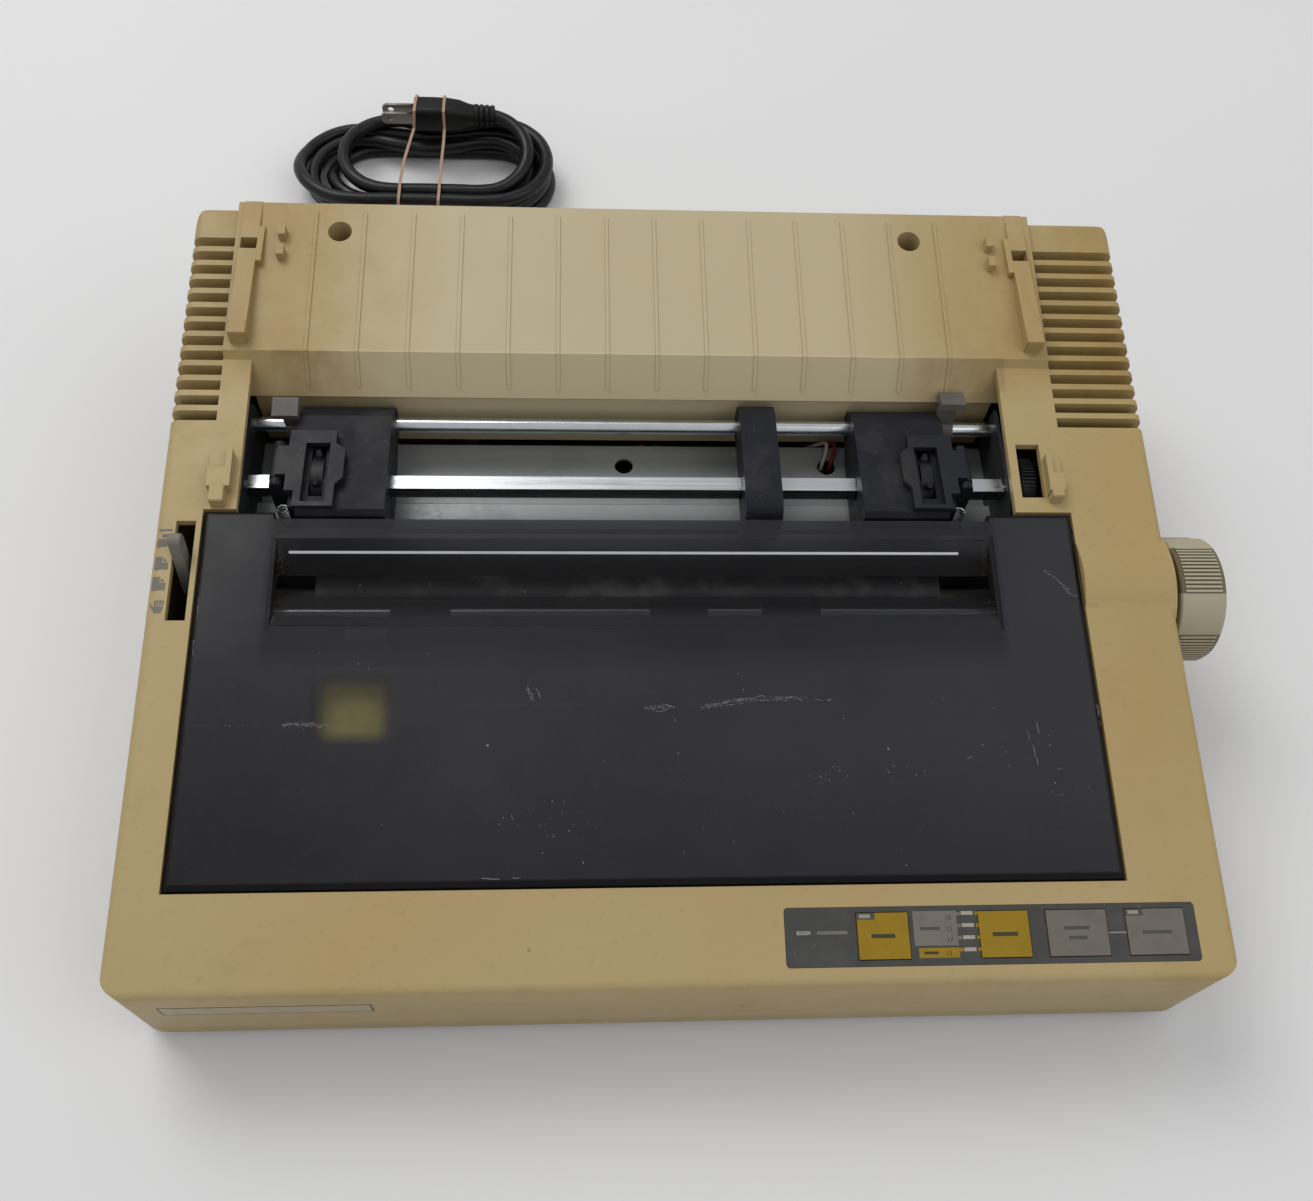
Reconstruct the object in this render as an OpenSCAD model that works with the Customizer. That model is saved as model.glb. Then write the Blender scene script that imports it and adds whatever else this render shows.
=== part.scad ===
// Desktop dot matrix printer: a wedge-shaped two-part case, a hinged smoke cover
// with a paper slot, a push tractor in a rear bay, a platen with a side knob, and
// the carriage, ribbon and drive train under the cover.
// X runs across the printer (knob side is +X), Y from front to rear, Z up.

/* [Case] */
// Width of the case, without the knob
case_w = 384; // [376:1:396]
// Depth of the case
case_d = 310; // [306:1:320]
// Height of the deck at the front edge
front_h = 58; // [54:1:62]
// Height of the sloping deck at the rear edge
rear_h = 105; // [101:1:109]
// Wall thickness of the mouldings
wall = 3; // [2.5:0.1:3.4]
// Corner radius of the case seen from above
corner_r = 10; // [7:0.5:13]
// Radius of the fold between the front face and the deck
fold_r = 4; // [3.6:0.1:6]
// Radius of the long top edges of the sides
side_r = 4; // [3.6:0.1:6]
// Height of the seam between the two halves of the case
seam_z = 16; // [14:0.5:18]
// Height of the rubber feet
foot_h = 5; // [4:0.5:6]
// Diameter of the rubber feet
foot_d = 18; // [14:1:22]
// Distance of the feet from the sides of the case
foot_inset = 28; // [24:1:34]

/* [Louvres] */
// Width of the louvred strips at both sides
louvre_w = 17.5; // [15:0.5:17.5]
// Distance from the rear edge to the first louvre
louvre_rear = 16; // [13:0.5:20]
// Spacing of the louvres
louvre_pitch = 6.6; // [6:0.1:6.8]
// Length of each gap between two ribs
louvre_gap = 4.2; // [3.6:0.1:4.4]
// Depth of the gaps
louvre_depth = 6; // [4:0.5:7]
// Number of gaps on each side
louvre_n = 13; // [9:1:13]

/* [Rear platform] */
// Height of the raised rear platform over the deck
platform_lift = 2.8; // [2:0.1:3.4]
// Depth of the raised platform
platform_d = 70.5; // [66:0.5:72]
// Depth of the paper chute in front of it
chute_d = 10.5; // [8:0.5:12]
// Drop of the paper chute
chute_drop = 15; // [12:0.5:16]
// Number of paper guide ribs
rib_n = 14; // [8:1:14]
// Spacing of the paper guide ribs
rib_pitch = 19.75; // [18:0.25:20]
// Width of a paper guide rib
rib_w = 1.2; // [1:0.1:1.6]
// Height of a paper guide rib
rib_h = 0.5; // [0.4:0.1:0.7]
// Diameter of the two deep screw wells
well_d = 9.6; // [8:0.2:11]
// Height of the rails over the rear end of the deck
rail_lift = 2.8; // [2.4:0.1:3.2]
// Width of the rails
rail_w = 7; // [6.6:0.1:7.4]
// Length of the rails
rail_l = 62; // [56:1:64]

/* [Cover] */
// Distance from the left side of the case to the smoke cover
cover_left = 17.7; // [17:0.1:19]
// Distance from the right side of the case to the smoke cover
cover_right = 36.5; // [34:0.5:38]
// Distance from the front of the case to the smoke cover
cover_front = 34; // [32:0.5:38]
// Distance the smoke cover reaches behind the platen axis
cover_reach = 21.3; // [20.9:0.1:21.7]
// Sheet thickness of the smoke cover
cover_t = 2.4; // [2:0.1:2.6]
// Height of the cover's rim
cover_rim = 4.6; // [4:0.1:5]
// Bevel along the edges of the cover
cover_bevel = 1.6; // [1:0.1:1.8]
// Gap between the cover and its recess
cover_gap = 0.8; // [0.6:0.1:1.1]
// Distance from the cover's left side to the paper slot's mouth
slot_left = 27.3; // [26:0.1:29]
// Width of the paper slot's mouth
slot_w = 269; // [264:1:271]
// Distance from the cover's rear edge to the slot's mouth
slot_rear = 11.2; // [10.6:0.1:12]
// Depth of the slot's mouth
slot_d = 34.4; // [33.6:0.1:35]
// Open throat of the paper slot
throat_d = 9; // [8:0.25:10]

/* [Platen] */
// Distance of the platen axis from the rear of the case
platen_back = 159; // [158:0.25:160]
// Depth of the platen axis under the deck
platen_drop = 24.9; // [24:0.1:25.8]
// Diameter of the platen
platen_d = 26; // [24:0.5:26]
// Diameter of the platen shaft
platen_shaft_d = 8; // [7:0.5:9]
// Diameter of the knob
knob_d = 49.8; // [46:0.2:51]
// Length of the knob
knob_l = 18.5; // [16:0.5:20]
// Gap between the case and the knob
knob_gap = 3.5; // [3:0.25:5]

/* [Tractor] */
// Distance from the platen axis back to the square tractor shaft
tractor_dy = 41; // [40.5:0.25:42]
// Height of the square shaft over the platen axis
tractor_dz = 17; // [16.5:0.25:17.5]
// Distance from the square shaft back to the round shaft
rod_dy = 30; // [29.5:0.25:31]
// Width across the flats of the square shaft
square_w = 6; // [5:0.25:6.5]
// Diameter of the round shaft
rod_d = 6; // [5:0.25:7]
// Distance from the bay's sides to the two rows of sprocket pins
pin_margin = 30.5; // [28:0.1:34]
// How far both pin rows stand left of the bay's middle
pin_offset = 2.3; // [0:0.1:3]
// Diameter of the pin wheels without pins
wheel_d = 24.2; // [23.4:0.2:24.6]
// Height of the sprocket pins
pin_h = 3.2; // [2.8:0.1:3.6]
// Running clearance of bores on the shafts
running = 0.05; // [0.03:0.01:0.08]
// Clearance between neighbouring moving pieces
clear = 0.4; // [0.35:0.05:0.6]

/* [Carriage] */
// Distance from the platen axis to the rear carriage rod
rod_a_dy = 39; // [37:0.5:40]
// Distance from the platen axis to the front carriage rod
rod_b_dy = 73; // [70:0.5:75]
// Depth of the carriage rods under the platen axis
rods_drop = 18; // [17:0.5:20]
// Diameter of the carriage rods
slide_rod_d = 8; // [7:0.5:9]
// Width of the ribbon cartridge
cartridge_w = 76; // [68:1:80]
// Travel of the carriage
travel = 203; // [190:1:204]

/* [Controls] */
// Width of the control panel
panel_w = 144; // [138:1:150]
// Depth of the control panel
panel_d = 20; // [19:0.5:21]
// Distance from the panel's right end to the side of the case
panel_right = 13.6; // [11:0.2:17]
// Distance of the panel from the front of the case
panel_front = 6; // [5:0.5:8]
// Travel of the push buttons
button_travel = 0.8; // [0.5:0.1:0.9]
// Length of the paper release lever's slot
lever_slot_l = 39.5; // [34:0.5:42]
// Width of that slot
lever_slot_w = 7.2; // [6.5:0.1:8]

/* [Power cord] */
// Diameter of the power cord
cord_d = 7; // [6:0.5:8]
// Length of the tied bundle of cord
hank_l = 136; // [130:1:146]
// Width of the tied bundle
hank_w = 66; // [60:1:72]
// Height of the tied bundle
hank_h = 21; // [18:0.5:24]

/* [Hidden] */
$fn = 48;

half_w = case_w / 2;
knob_x0 = half_w + knob_gap;
knob_x1 = knob_x0 + knob_l;
centre_x = (knob_x1 - half_w) / 2;
slope = atan((rear_h - front_h) / case_d);
cover_x0 = -half_w + cover_left;
cover_x1 = half_w - cover_right;
cover_y0 = cover_front;
platen_y = case_d - platen_back;
platen_z = front_h + (rear_h - front_h) * platen_y / case_d - platen_drop;
rods_z = platen_z - rods_drop;
cover_y1 = platen_y + cover_reach;
cover_ear = 3.4;
cover_proud = 1.2;
slot_x0 = cover_x0 + slot_left;
slot_x1 = slot_x0 + slot_w;
slot_y1 = cover_y1 - slot_rear;
slot_y0 = slot_y1 - slot_d;
hinge_y = cover_y1 - 5.8;
crease_y = case_d - platform_d;
lip_y = crease_y - chute_d;
bay_x0 = cover_x0 + 11.3;
bay_x1 = cover_x1 - 21.1;
ledge = 8;
plate_t = 1.5;
plate_l = bay_x0 - 2.5;
plate_r = bay_x1 + 1.2;
platform_x0 = -half_w + 18.2;
platform_x1 = half_w - 36.5;
rib_x0 = platform_x0 + 31.8;
tractor_y = platen_y + tractor_dy;
tractor_z = platen_z + tractor_dz;
rod_y = tractor_y + rod_dy;
pin_xl = bay_x0 + pin_margin - pin_offset;
pin_xr = bay_x1 - pin_margin - pin_offset;
pin_mid_x = (pin_xl + pin_xr) / 2;
gear_x0 = plate_r + plate_t + 2.9;
gear_t = 5;
gear_m = 0.5;
platen_teeth = 56;
idler_teeth = 41;
tractor_teeth = 48;
lever_x = -half_w + 11.3;
lever_y = cover_y1 - 25;

function deck_z(y) = front_h + (rear_h - front_h) * y / case_d;
function arc(cx, cy, r, a0, a1, n = 6) =
  [for (i = [0:n]) [cx + r * cos(a0 + (a1 - a0) * i / n), cy + r * sin(a0 + (a1 - a0) * i / n)]];

// Stands the finished printer on the floor, centred under its own outline
module placed() translate([-centre_x, -case_d / 2, 0]) children();

// Extrudes a (y, z) outline between two places across the printer
module along_x(x0, x1) translate([x0, 0, 0]) rotate([90, 0, 90]) linear_extrude(x1 - x0) children();

// A slab between two planes parallel to the deck
module sloped(x0, x1, y0, y1, w0, w1) along_x(x0, x1)
  polygon([[y0, deck_z(y0) + w0], [y1, deck_z(y1) + w0], [y1, deck_z(y1) + w1], [y0, deck_z(y0) + w1]]);

// Puts a piece on the sloping deck
module on_deck(x, y, lift = 0) translate([x, y, deck_z(y)]) rotate([slope, 0, 0]) translate([0, 0, lift])
  children();

module rod_x(x0, x1, y, z, d) translate([x0, y, z]) rotate([0, 90, 0]) cylinder(h = x1 - x0, d = d);

module rounded_rect(x0, x1, y0, y1, r) {
  translate([x0 + r, y0]) square([x1 - x0 - 2 * r, y1 - y0]);
  translate([x0, y0 + r]) square([x1 - x0, y1 - y0 - 2 * r]);
  for (x = [x0 + r, x1 - r], y = [y0 + r, y1 - r]) translate([x, y]) circle(r);
}

// A folded strip of sheet metal in section: straight runs with round folds
module folded(points, t) {
  for (i = [0:len(points) - 2])
    let (a = points[i], b = points[i + 1], d = b - a)
      translate(a) rotate(atan2(d[1], d[0])) translate([0, -t / 2]) square([norm(d), t]);
  for (p = points) translate(p) circle(d = t, $fn = 12);
}

// ---- Case ----

function fold_z(y) = deck_z(y) - fold_r / cos(slope);

// The whole outline of the case, set in by i, from the height z0 upwards
module case_solid(i, z0) intersection() {
  translate([0, 0, z0]) linear_extrude(rear_h)
    rounded_rect(-half_w + i, half_w - i, i, case_d - i, corner_r - i);
  along_x(-half_w - 1, half_w + 1) polygon(concat(
    [[i, z0]],
    arc(fold_r, fold_z(fold_r), fold_r - i, 180, 90 + slope),
    arc(case_d - fold_r, fold_z(case_d - fold_r), fold_r - i, 90 + slope, 0),
    [[case_d - i, z0]]));
  translate([0, 0, front_h]) rotate([slope, 0, 0]) translate([0, case_d + 20, 0]) rotate([90, 0, 0])
    linear_extrude(case_d + 60) polygon(concat(
      [[-half_w + i, -rear_h - 20]],
      arc(-half_w + side_r, -side_r, side_r - i, 180, 90),
      arc(half_w - side_r, -side_r, side_r - i, 90, 0),
      [[half_w - i, -rear_h - 20]]));
}

feet_x = [-half_w + foot_inset, half_w - foot_inset];
feet_y = [foot_inset, case_d - foot_inset];
case_floor = foot_h + wall;
well_x = [platform_x0 + 41.5, platform_x1 - 52.3];
well_y = case_d - 14.5;
well_floor = 36;
stand_x = [plate_l + 16, plate_r - 16];
stand_y = [platen_y - 45, tractor_y + 20];
chassis_y1 = rod_y + 6;
chassis_z = 22;
board_z = 20;
board_x0 = -half_w + 112;
board_x1 = half_w - 24;
board_y0 = chassis_y1 + 14;
board_y1 = case_d - 12;
post_d = 8;
screw_d = 4;
cord_x = -half_w + 44;
cord_z = 26;
port_x = half_w - 174;
port_w = 60;
switch_x = half_w - 40;

module lower_case() color("#a89a72") difference() {
  union() {
    difference() {
      union() {
        translate([0, 0, foot_h]) linear_extrude(wall)
          rounded_rect(-half_w + 1.5, half_w - 1.5, 1.5, case_d - 1.5, corner_r - 1.5);
        translate([0, 0, case_floor]) linear_extrude(seam_z - case_floor)
          rounded_rect(-half_w, half_w, 0, case_d, corner_r);
      }
      translate([0, 0, case_floor]) linear_extrude(seam_z)
        rounded_rect(-half_w + wall, half_w - wall, wall, case_d - wall, corner_r - wall);
    }
    for (x = stand_x, y = stand_y) translate([x, y, case_floor - 1])
      cylinder(h = chassis_z - case_floor + 1, d = post_d + 4);
    for (x = [board_x0 + 8, board_x1 - 8], y = [board_y0 + 8, board_y1 - 8])
      translate([x, y, case_floor - 1]) cylinder(h = board_z - case_floor + 1, d = post_d);
    for (x = well_x) translate([x, well_y, case_floor - 1])
      cylinder(h = well_floor - 6 - case_floor + 1, d = post_d + 4);
  }
  for (x = well_x) translate([x, well_y, case_floor + 2])
    cylinder(h = well_floor, d = screw_d + 2 * running);
  for (x = [-7:7]) translate([x * 14 - 3, case_d - 52, foot_h - 1]) cube([6, 30, wall + 2]);
}

module rubber_feet() color("#1e1e20")
  for (x = feet_x, y = feet_y) translate([x, y, 0]) {
    cylinder(h = 2, d = foot_d - 2);
    translate([0, 0, 2]) cylinder(h = foot_h - 2, d = foot_d);
  }

hood_r = knob_d / 2 + 3;
lip_z = deck_z(crease_y) + platform_lift - chute_drop;
recess_w = cover_rim + 0.3;
shelf_gap = cover_gap + 0.4;
rail_h = 8.6;
rail_end = case_d - rail_l;
hinge_w = -3;
hinge_d = 3.2;
hinge_reach = 1.4;
rail_xl = platform_x0 + 2.5;
rail_xr = platform_x1 - 3 - rail_w;
louvre_y1 = case_d - louvre_rear;
louvre_y0 = louvre_y1 - (louvre_n - 1) * louvre_pitch - louvre_gap;
window_x0 = gear_x0 - 2.2;
window_w = 9.4;
panel_x0 = half_w - panel_right - panel_w;
button_x = [25, 67.2, 91, 119];
button_w = [17.6, 17.4, 21, 20.6];
button_y = 2.4;
button_d = 15.4;
panel_t = 0.6;

module platform_outline() polygon([
  [case_d, deck_z(case_d) - wall - fold_r],
  [case_d, deck_z(case_d) + platform_lift - 1],
  [case_d - 1, deck_z(case_d - 1) + platform_lift],
  [crease_y, deck_z(crease_y) + platform_lift],
  [lip_y, lip_z],
  [lip_y + 1, lip_z - 1.6],
  [lip_y + 2.4, lip_z - 1.2],
  [crease_y + 3, deck_z(crease_y + 3) - wall],
  [case_d - fold_r - 4, deck_z(case_d - fold_r - 4) - wall]]);

module rail(x0, inner) {
  front = deck_z(rail_end) + rail_h;
  rear = deck_z(case_d) + rail_lift;
  along_x(x0, x0 + rail_w) polygon([[rail_end, deck_z(rail_end) - 1], [rail_end, front],
    [case_d - 0.6, rear],
    [case_d - 0.6, rear - 2]]);
  along_x(x0 + min(inner, 0), x0 + rail_w + max(inner, 0)) let (y0 = case_d - 31.5, y1 = case_d - 13.5)
    polygon([[y0, deck_z(y0) - 1], [y0, front + (rear - front) * (y0 - rail_end) / rail_l],
      [y1, front + (rear - front) * (y1 - rail_end) / rail_l], [y1, deck_z(y1) - 1]]);
}

module catch_block(x0, w, side) {
  sloped(x0, x0 + w, cover_y1 + 8, cover_y1 + 15.6, -1, 4.6);
  sloped(x0, x0 + w, cover_y1 + 15.4, cover_y1 + 23.5, -1, 2.2);
  sloped(side > 0 ? x0 : x0 + w - 2.2, side > 0 ? x0 + 2.2 : x0 + w, cover_y1 + 15.4, cover_y1 + 23.5, 2,
    4.6);
}

module case_cuts() {
  sloped(cover_x0 - cover_gap, cover_x1 + cover_gap, cover_y0 - cover_gap, cover_y1 + shelf_gap,
    -recess_w, 20);
  sloped(cover_x0 + ledge, cover_x1 - ledge, cover_y0 + ledge, cover_y1 - 2, -30, 20);
  sloped(cover_x0 - cover_gap, cover_x1 + cover_gap, hinge_y - 8, cover_y1 + shelf_gap, -30, 0);
  sloped(bay_x0, bay_x1, cover_y1 - 4, crease_y - 1, -30, 20);
  sloped(lever_x - lever_slot_w / 2, lever_x + lever_slot_w / 2, lever_y - lever_slot_l / 2 + 2,
    lever_y + lever_slot_l / 2 + 2 - 0.4, -20, 10);
  sloped(window_x0, window_x0 + window_w, cover_y1 + 7.5, cover_y1 + 30.5, -20, 10);
}

module louvre_cuts() for (i = [0:louvre_n - 1]) let (y = louvre_y1 - i * louvre_pitch)
  for (x = [-half_w - 1, half_w - louvre_w - 0.5])
    sloped(x, x + louvre_w + 1.5, y - louvre_gap, y, -louvre_depth, 5);

module upper_case() color("#b3a57c") difference() {
  union() {
    difference() {
      union() {
        difference() {
          case_solid(0, seam_z);
          case_solid(wall, seam_z - 1);
        }
        sloped(cover_x0 - 3, cover_x1 + 3, cover_y0 - 3, cover_y1 - 9, -recess_w - 2.2, -wall + 0.5);
        for (x = [cover_x0 - 2.6, cover_x1 + cover_gap - 0.4])
          sloped(x, x + 2.2, hinge_y - 5, hinge_y + 5, -7, -wall + 0.5);
        for (x = [-half_w + wall - 0.6, half_w - louvre_w - 2])
          sloped(x, x + louvre_w - wall + 2.6, louvre_y0 - 2.4, louvre_y1 + 2.4, -louvre_depth - 2.4,
            -wall + 0.5);
      }
      case_cuts();
    }
    along_x(platform_x0, platform_x1) platform_outline();
    rail(rail_xl, 2.2);
    rail(rail_xr, -2.2);
    for (x = [platform_x0 + 17.6, platform_x1 - 20.6], y = [case_d - 19.5, case_d - 29])
      sloped(x, x + 2.9, y, y + 4.6, 0, platform_lift + 4);
    catch_block(cover_x0 + 0.4, 8.6, -1);
    catch_block(cover_x1 - 7.8, 6.2, 1);
    intersection() {
      rod_x(half_w - 31, half_w, platen_y, platen_z, 2 * hood_r);
      sloped(half_w - 31, half_w, platen_y - hood_r, platen_y + hood_r, -wall + 0.4, 12);
    }
    for (x = well_x) translate([x, well_y, well_floor - 6])
      cylinder(h = deck_z(well_y) - well_floor + 4, d = well_d + 4);
    for (i = [0:rib_n - 1]) along_x(rib_x0 + i * rib_pitch - rib_w / 2, rib_x0 + i * rib_pitch + rib_w / 2)
      polygon([[case_d - 5, deck_z(case_d - 5) + platform_lift - 0.5],
        [case_d - 5.5, deck_z(case_d - 5.5) + platform_lift + rib_h],
        [crease_y - 0.2, deck_z(crease_y) + platform_lift + rib_h],
        [lip_y + 2, lip_z + 2 * chute_drop / chute_d + 1.5 * rib_h],
        [lip_y + 3, lip_z + 2 * chute_drop / chute_d],
        [crease_y + 1, deck_z(crease_y) + platform_lift - 0.5]]);
  }
  louvre_cuts();
  for (x = [rail_xl + 0.2, rail_xr + 0.2]) translate([x, case_d - 25.3, deck_z(case_d - 25) - 12])
    cube([6.6, 5.6, 40]);
  for (x = well_x) translate([x, well_y, well_floor]) cylinder(h = rear_h, d = well_d);
  for (x = well_x) translate([x, well_y, 0]) cylinder(h = rear_h, d = screw_d + 0.6);
  for (x = [cover_x0 - cover_gap - 1.6, cover_x1 + cover_gap - 0.2])
    rod_x(x, x + 1.8, hinge_y, deck_z(hinge_y) + hinge_w, hinge_d + 2 * running);
  rod_x(half_w - 8, half_w + 1, platen_y, platen_z, platen_shaft_d + 5);
  on_deck(panel_x0, panel_front, -panel_t) linear_extrude(4) rounded_rect(0, panel_w, 0, panel_d, 1.5);
  for (i = [0:3]) on_deck(panel_x0 + button_x[i], panel_front + button_y, -wall - 3)
    translate([-0.3, -0.3, 0]) cube([button_w[i] + 0.6, button_d + 0.6, 10]);
  translate([cord_x, case_d + 1, cord_z]) rotate([90, 0, 0]) cylinder(h = 8, d = cord_d + 5);
  translate([port_x, case_d - wall - 1, board_z + 1.2]) cube([port_w, wall + 2, 15.8]);
  translate([switch_x, case_d - wall - 1, switch_z]) cube([switch_w, wall + 2, switch_h]);
}

module case_screws() color("#8c8c90") for (x = well_x) translate([x, well_y, 0]) {
  difference() {
    translate([0, 0, well_floor]) cylinder(h = 3, d = 8);
    translate([-3, -0.6, well_floor + 2]) cube([6, 1.2, 2]);
    translate([-0.6, -3, well_floor + 2]) cube([1.2, 6, 2]);
  }
  translate([0, 0, well_floor - 14]) cylinder(h = 14.5, d = screw_d);
}

// ---- Smoke cover ----

throat_y0 = platen_y - 9.9;
throat_y1 = throat_y0 + throat_d;
throat_z = platen_z + 18.8;
slot_wall = 1.6;

module cover_outline() intersection() {
  along_x(cover_x0, cover_x1) polygon([
    for (p = [[cover_y0, -cover_rim], [cover_y0, cover_proud - cover_bevel],
      [cover_y0 + cover_bevel, cover_proud],
      [cover_y1 - cover_bevel, cover_proud], [cover_y1, cover_proud - cover_bevel], [cover_y1, -cover_rim]])
      [p[0], deck_z(p[0]) + p[1]]]);
  translate([0, 0, front_h]) rotate([slope, 0, 0]) translate([0, case_d, 0]) rotate([90, 0, 0])
    linear_extrude(case_d) let (e = cover_proud - cover_bevel, b = cover_bevel + 2)
      polygon([[cover_x0, -20], [cover_x0, e], [cover_x0 + b, e + b], [cover_x1 - b, e + b],
        [cover_x1, e], [cover_x1, -20]]);
}

module smoke_cover() color("#2c2c30", 0.75) {
  setback_x0 = cover_x0 + 25.6;
  setback_x1 = cover_x1 - 32.5;
  back = cover_y1 - cover_ear;
  difference() {
    union() {
      difference() {
        cover_outline();
        sloped(cover_x0 + cover_t, cover_x1 - cover_t, cover_y0 + cover_t, cover_y1 - cover_t, -20,
          cover_proud - cover_t);
      }
      for (x = [setback_x0 - cover_t, setback_x1])
        sloped(x, x + cover_t, back - cover_t, cover_y1 - cover_t + 0.4, -cover_rim,
          cover_proud - cover_t + 0.4);
      sloped(setback_x0 - cover_t, setback_x1 + cover_t, back - cover_t, back, -cover_rim,
        cover_proud - cover_t + 0.4);
      for (x = [slot_x0 - cover_t, slot_x1]) along_x(x, x + cover_t) polygon([
        [slot_y0 - 1, deck_z(slot_y0 - 1)], [throat_y0, throat_z], [throat_y1, throat_z],
        [slot_y1 + 1, deck_z(slot_y1 + 1)]]);
    }
    sloped(setback_x0, setback_x1, back, cover_y1 + 1, -20, 20);
    sloped(slot_x0, slot_x1, slot_y0, slot_y1, -2, 20);
  }
  along_x(slot_x0 - 0.5, slot_x1 + 0.5) polygon([[slot_y0 - 0.8, deck_z(slot_y0) + cover_proud - 0.6],
    [slot_y0 + 0.6, deck_z(slot_y0) + cover_proud], [throat_y0, throat_z],
    [throat_y0 - 0.8, throat_z - slot_wall + 0.6],
    [slot_y0 - 0.8, deck_z(slot_y0) + cover_proud - slot_wall - 0.6]]);
  along_x(slot_x0 - 0.5, slot_x1 + 0.5) polygon([[slot_y1 + 0.8, deck_z(slot_y1) + cover_proud - 0.6],
    [slot_y1 - 0.6, deck_z(slot_y1) + cover_proud], [throat_y1, throat_z], [throat_y1 + 2, throat_z - 0.8],
    [slot_y1 + 0.8, deck_z(slot_y1) + cover_proud - slot_wall - 1]]);
  for (x = [cover_x0 - cover_gap - hinge_reach, cover_x1 - 1])
    rod_x(x, x + cover_gap + hinge_reach + 1, hinge_y, deck_z(hinge_y) + hinge_w, hinge_d);
}

module tear_bar() color("#b9bcbe") {
  top = [slot_y1 - 0.6, deck_z(slot_y1) + cover_proud];
  foot = [throat_y1, throat_z];
  a = atan2(top[1] - foot[1], top[0] - foot[0]);
  along_x(slot_x0 + 8, slot_x1 - 8) translate(top) rotate(a) translate([-6.2, 0]) square([3.2, 0.6]);
}

// ---- Chassis ----

idler_r1 = gear_m * (platen_teeth + idler_teeth) / 2;
idler_r2 = gear_m * (idler_teeth + tractor_teeth) / 2;
train_d = norm([tractor_dy, tractor_dz]);
train_a = atan2(tractor_dz, tractor_dy);
idler_u = (pow(idler_r1, 2) - pow(idler_r2, 2) + pow(train_d, 2)) / (2 * train_d);
idler_v = -sqrt(pow(idler_r1, 2) - pow(idler_u, 2));
idler_y = platen_y + idler_u * cos(train_a) - idler_v * sin(train_a);
idler_z = platen_z + idler_u * sin(train_a) + idler_v * cos(train_a);
rod_a_y = platen_y - rod_a_dy;
rod_b_y = platen_y - rod_b_dy;
belt_y = rod_b_y - 17.5;
belt_z = rods_z - 3;
belt_w = 6;
belt_t = 1.2;
pulley_r = 8;
pulley_xl = plate_l + 15.5;
pulley_xr = plate_r - 13.6;
journal_d = 5;
axle_d = 5;
bail_pivot = [platen_y - 6, platen_z - 16];
bail_y = platen_y - 13.6;
bail_z = platen_z + 12.5;
bail_d = 4;
roller_d = 10.4;
lever_pivot = [lever_y, platen_z - 10];
lever_pin_d = 6;

module side_plate(x) along_x(x, x + plate_t) difference() {
  polygon([[belt_y - 8, belt_z + 9], [belt_y - 6, platen_z - 6], [rod_a_y - 4, platen_z + 2],
    [platen_y - 24, platen_z + 8],
    [platen_y - 12, platen_z + 15], [platen_y + 24, platen_z + 15.6], [tractor_y - 9, tractor_z + 5],
    [rod_y + 5, lip_z - 2.5], [rod_y + 9, platen_z + 6],
    [rod_y + 6, chassis_z], [rod_a_y - 24, chassis_z], [rod_a_y - 28, rods_z - 8],
    [belt_y - 4, rods_z - 2]]);
  translate([platen_y, platen_z]) circle(d = platen_shaft_d + 2 * running);
  translate([tractor_y, tractor_z]) circle(d = journal_d + 2 * running);
  translate([rod_y, tractor_z]) circle(d = rod_d);
  translate([rod_a_y, rods_z]) circle(d = slide_rod_d);
  translate([rod_b_y, rods_z]) circle(d = slide_rod_d);
  translate([platen_y + 30, platen_z - 14]) circle(d = 16);
}

chassis_hole_n = 5;
chassis_hole_pitch = (plate_r - plate_l) / chassis_hole_n;
chassis_hole_w = chassis_hole_pitch * 0.66;

module chassis() color("#8f969a") {
  side_plate(plate_l);
  side_plate(plate_r);
  difference() {
    translate([plate_l, rod_a_y - 20, chassis_z])
      cube([plate_r + plate_t - plate_l, rod_y + 6 - rod_a_y + 20, plate_t]);
    for (i = [0:chassis_hole_n - 1])
      translate([plate_l + (i + 0.5) * chassis_hole_pitch - chassis_hole_w / 2, platen_y - 20,
        chassis_z - 1])
      cube([chassis_hole_w, 30, plate_t + 2]);
  }
  translate([pulley_xr - 10, belt_y - 7, belt_z - 2]) cube([plate_r + 0.5 - pulley_xr + 10, 14, plate_t]);
  translate([pulley_xr, belt_y, belt_z - 1]) cylinder(h = belt_w + 5, d = axle_d);
  rod_x(plate_r + plate_t / 2, gear_x0 + gear_t + 1.5, idler_y, idler_z, axle_d);
  rod_x(plate_l + plate_t / 2, plate_l + plate_t + 4.6, bail_pivot[0], bail_pivot[1], axle_d);
  rod_x(plate_r - 4.6, plate_r + plate_t / 2, bail_pivot[0], bail_pivot[1], axle_d);
  rod_x(lever_x - 3, plate_l + plate_t / 2, lever_pivot[0], lever_pivot[1], lever_pin_d);
}

module paper_pan() color("#9aa1a3") difference() {
  along_x(plate_l + plate_t + 0.01, plate_r - 0.01)
    folded([[rod_y + 4, platen_z - 7], [rod_y + 3, platen_z - 1], [rod_y - 15.5, platen_z - 1],
    [rod_y - 17, platen_z - 7], [rod_y - 24, platen_z - 7], [rod_y - 26, platen_z - 1.6],
    [rod_y - 34, platen_z - 1.6],
    [platen_y + 16, platen_z - 9], [platen_y + 9, platen_z - 15.6], [platen_y + 4, platen_z - 17.6]], 1.2);
  for (x = [pin_mid_x + 0.3, pin_mid_x + 85.4]) translate([x, rod_y - 7, platen_z - 4])
    cylinder(h = 6, d = 7.6);
}

// ---- Platen and gear train ----

platen_x0 = plate_l + 31.5;
platen_x1 = plate_r - 31;

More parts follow.
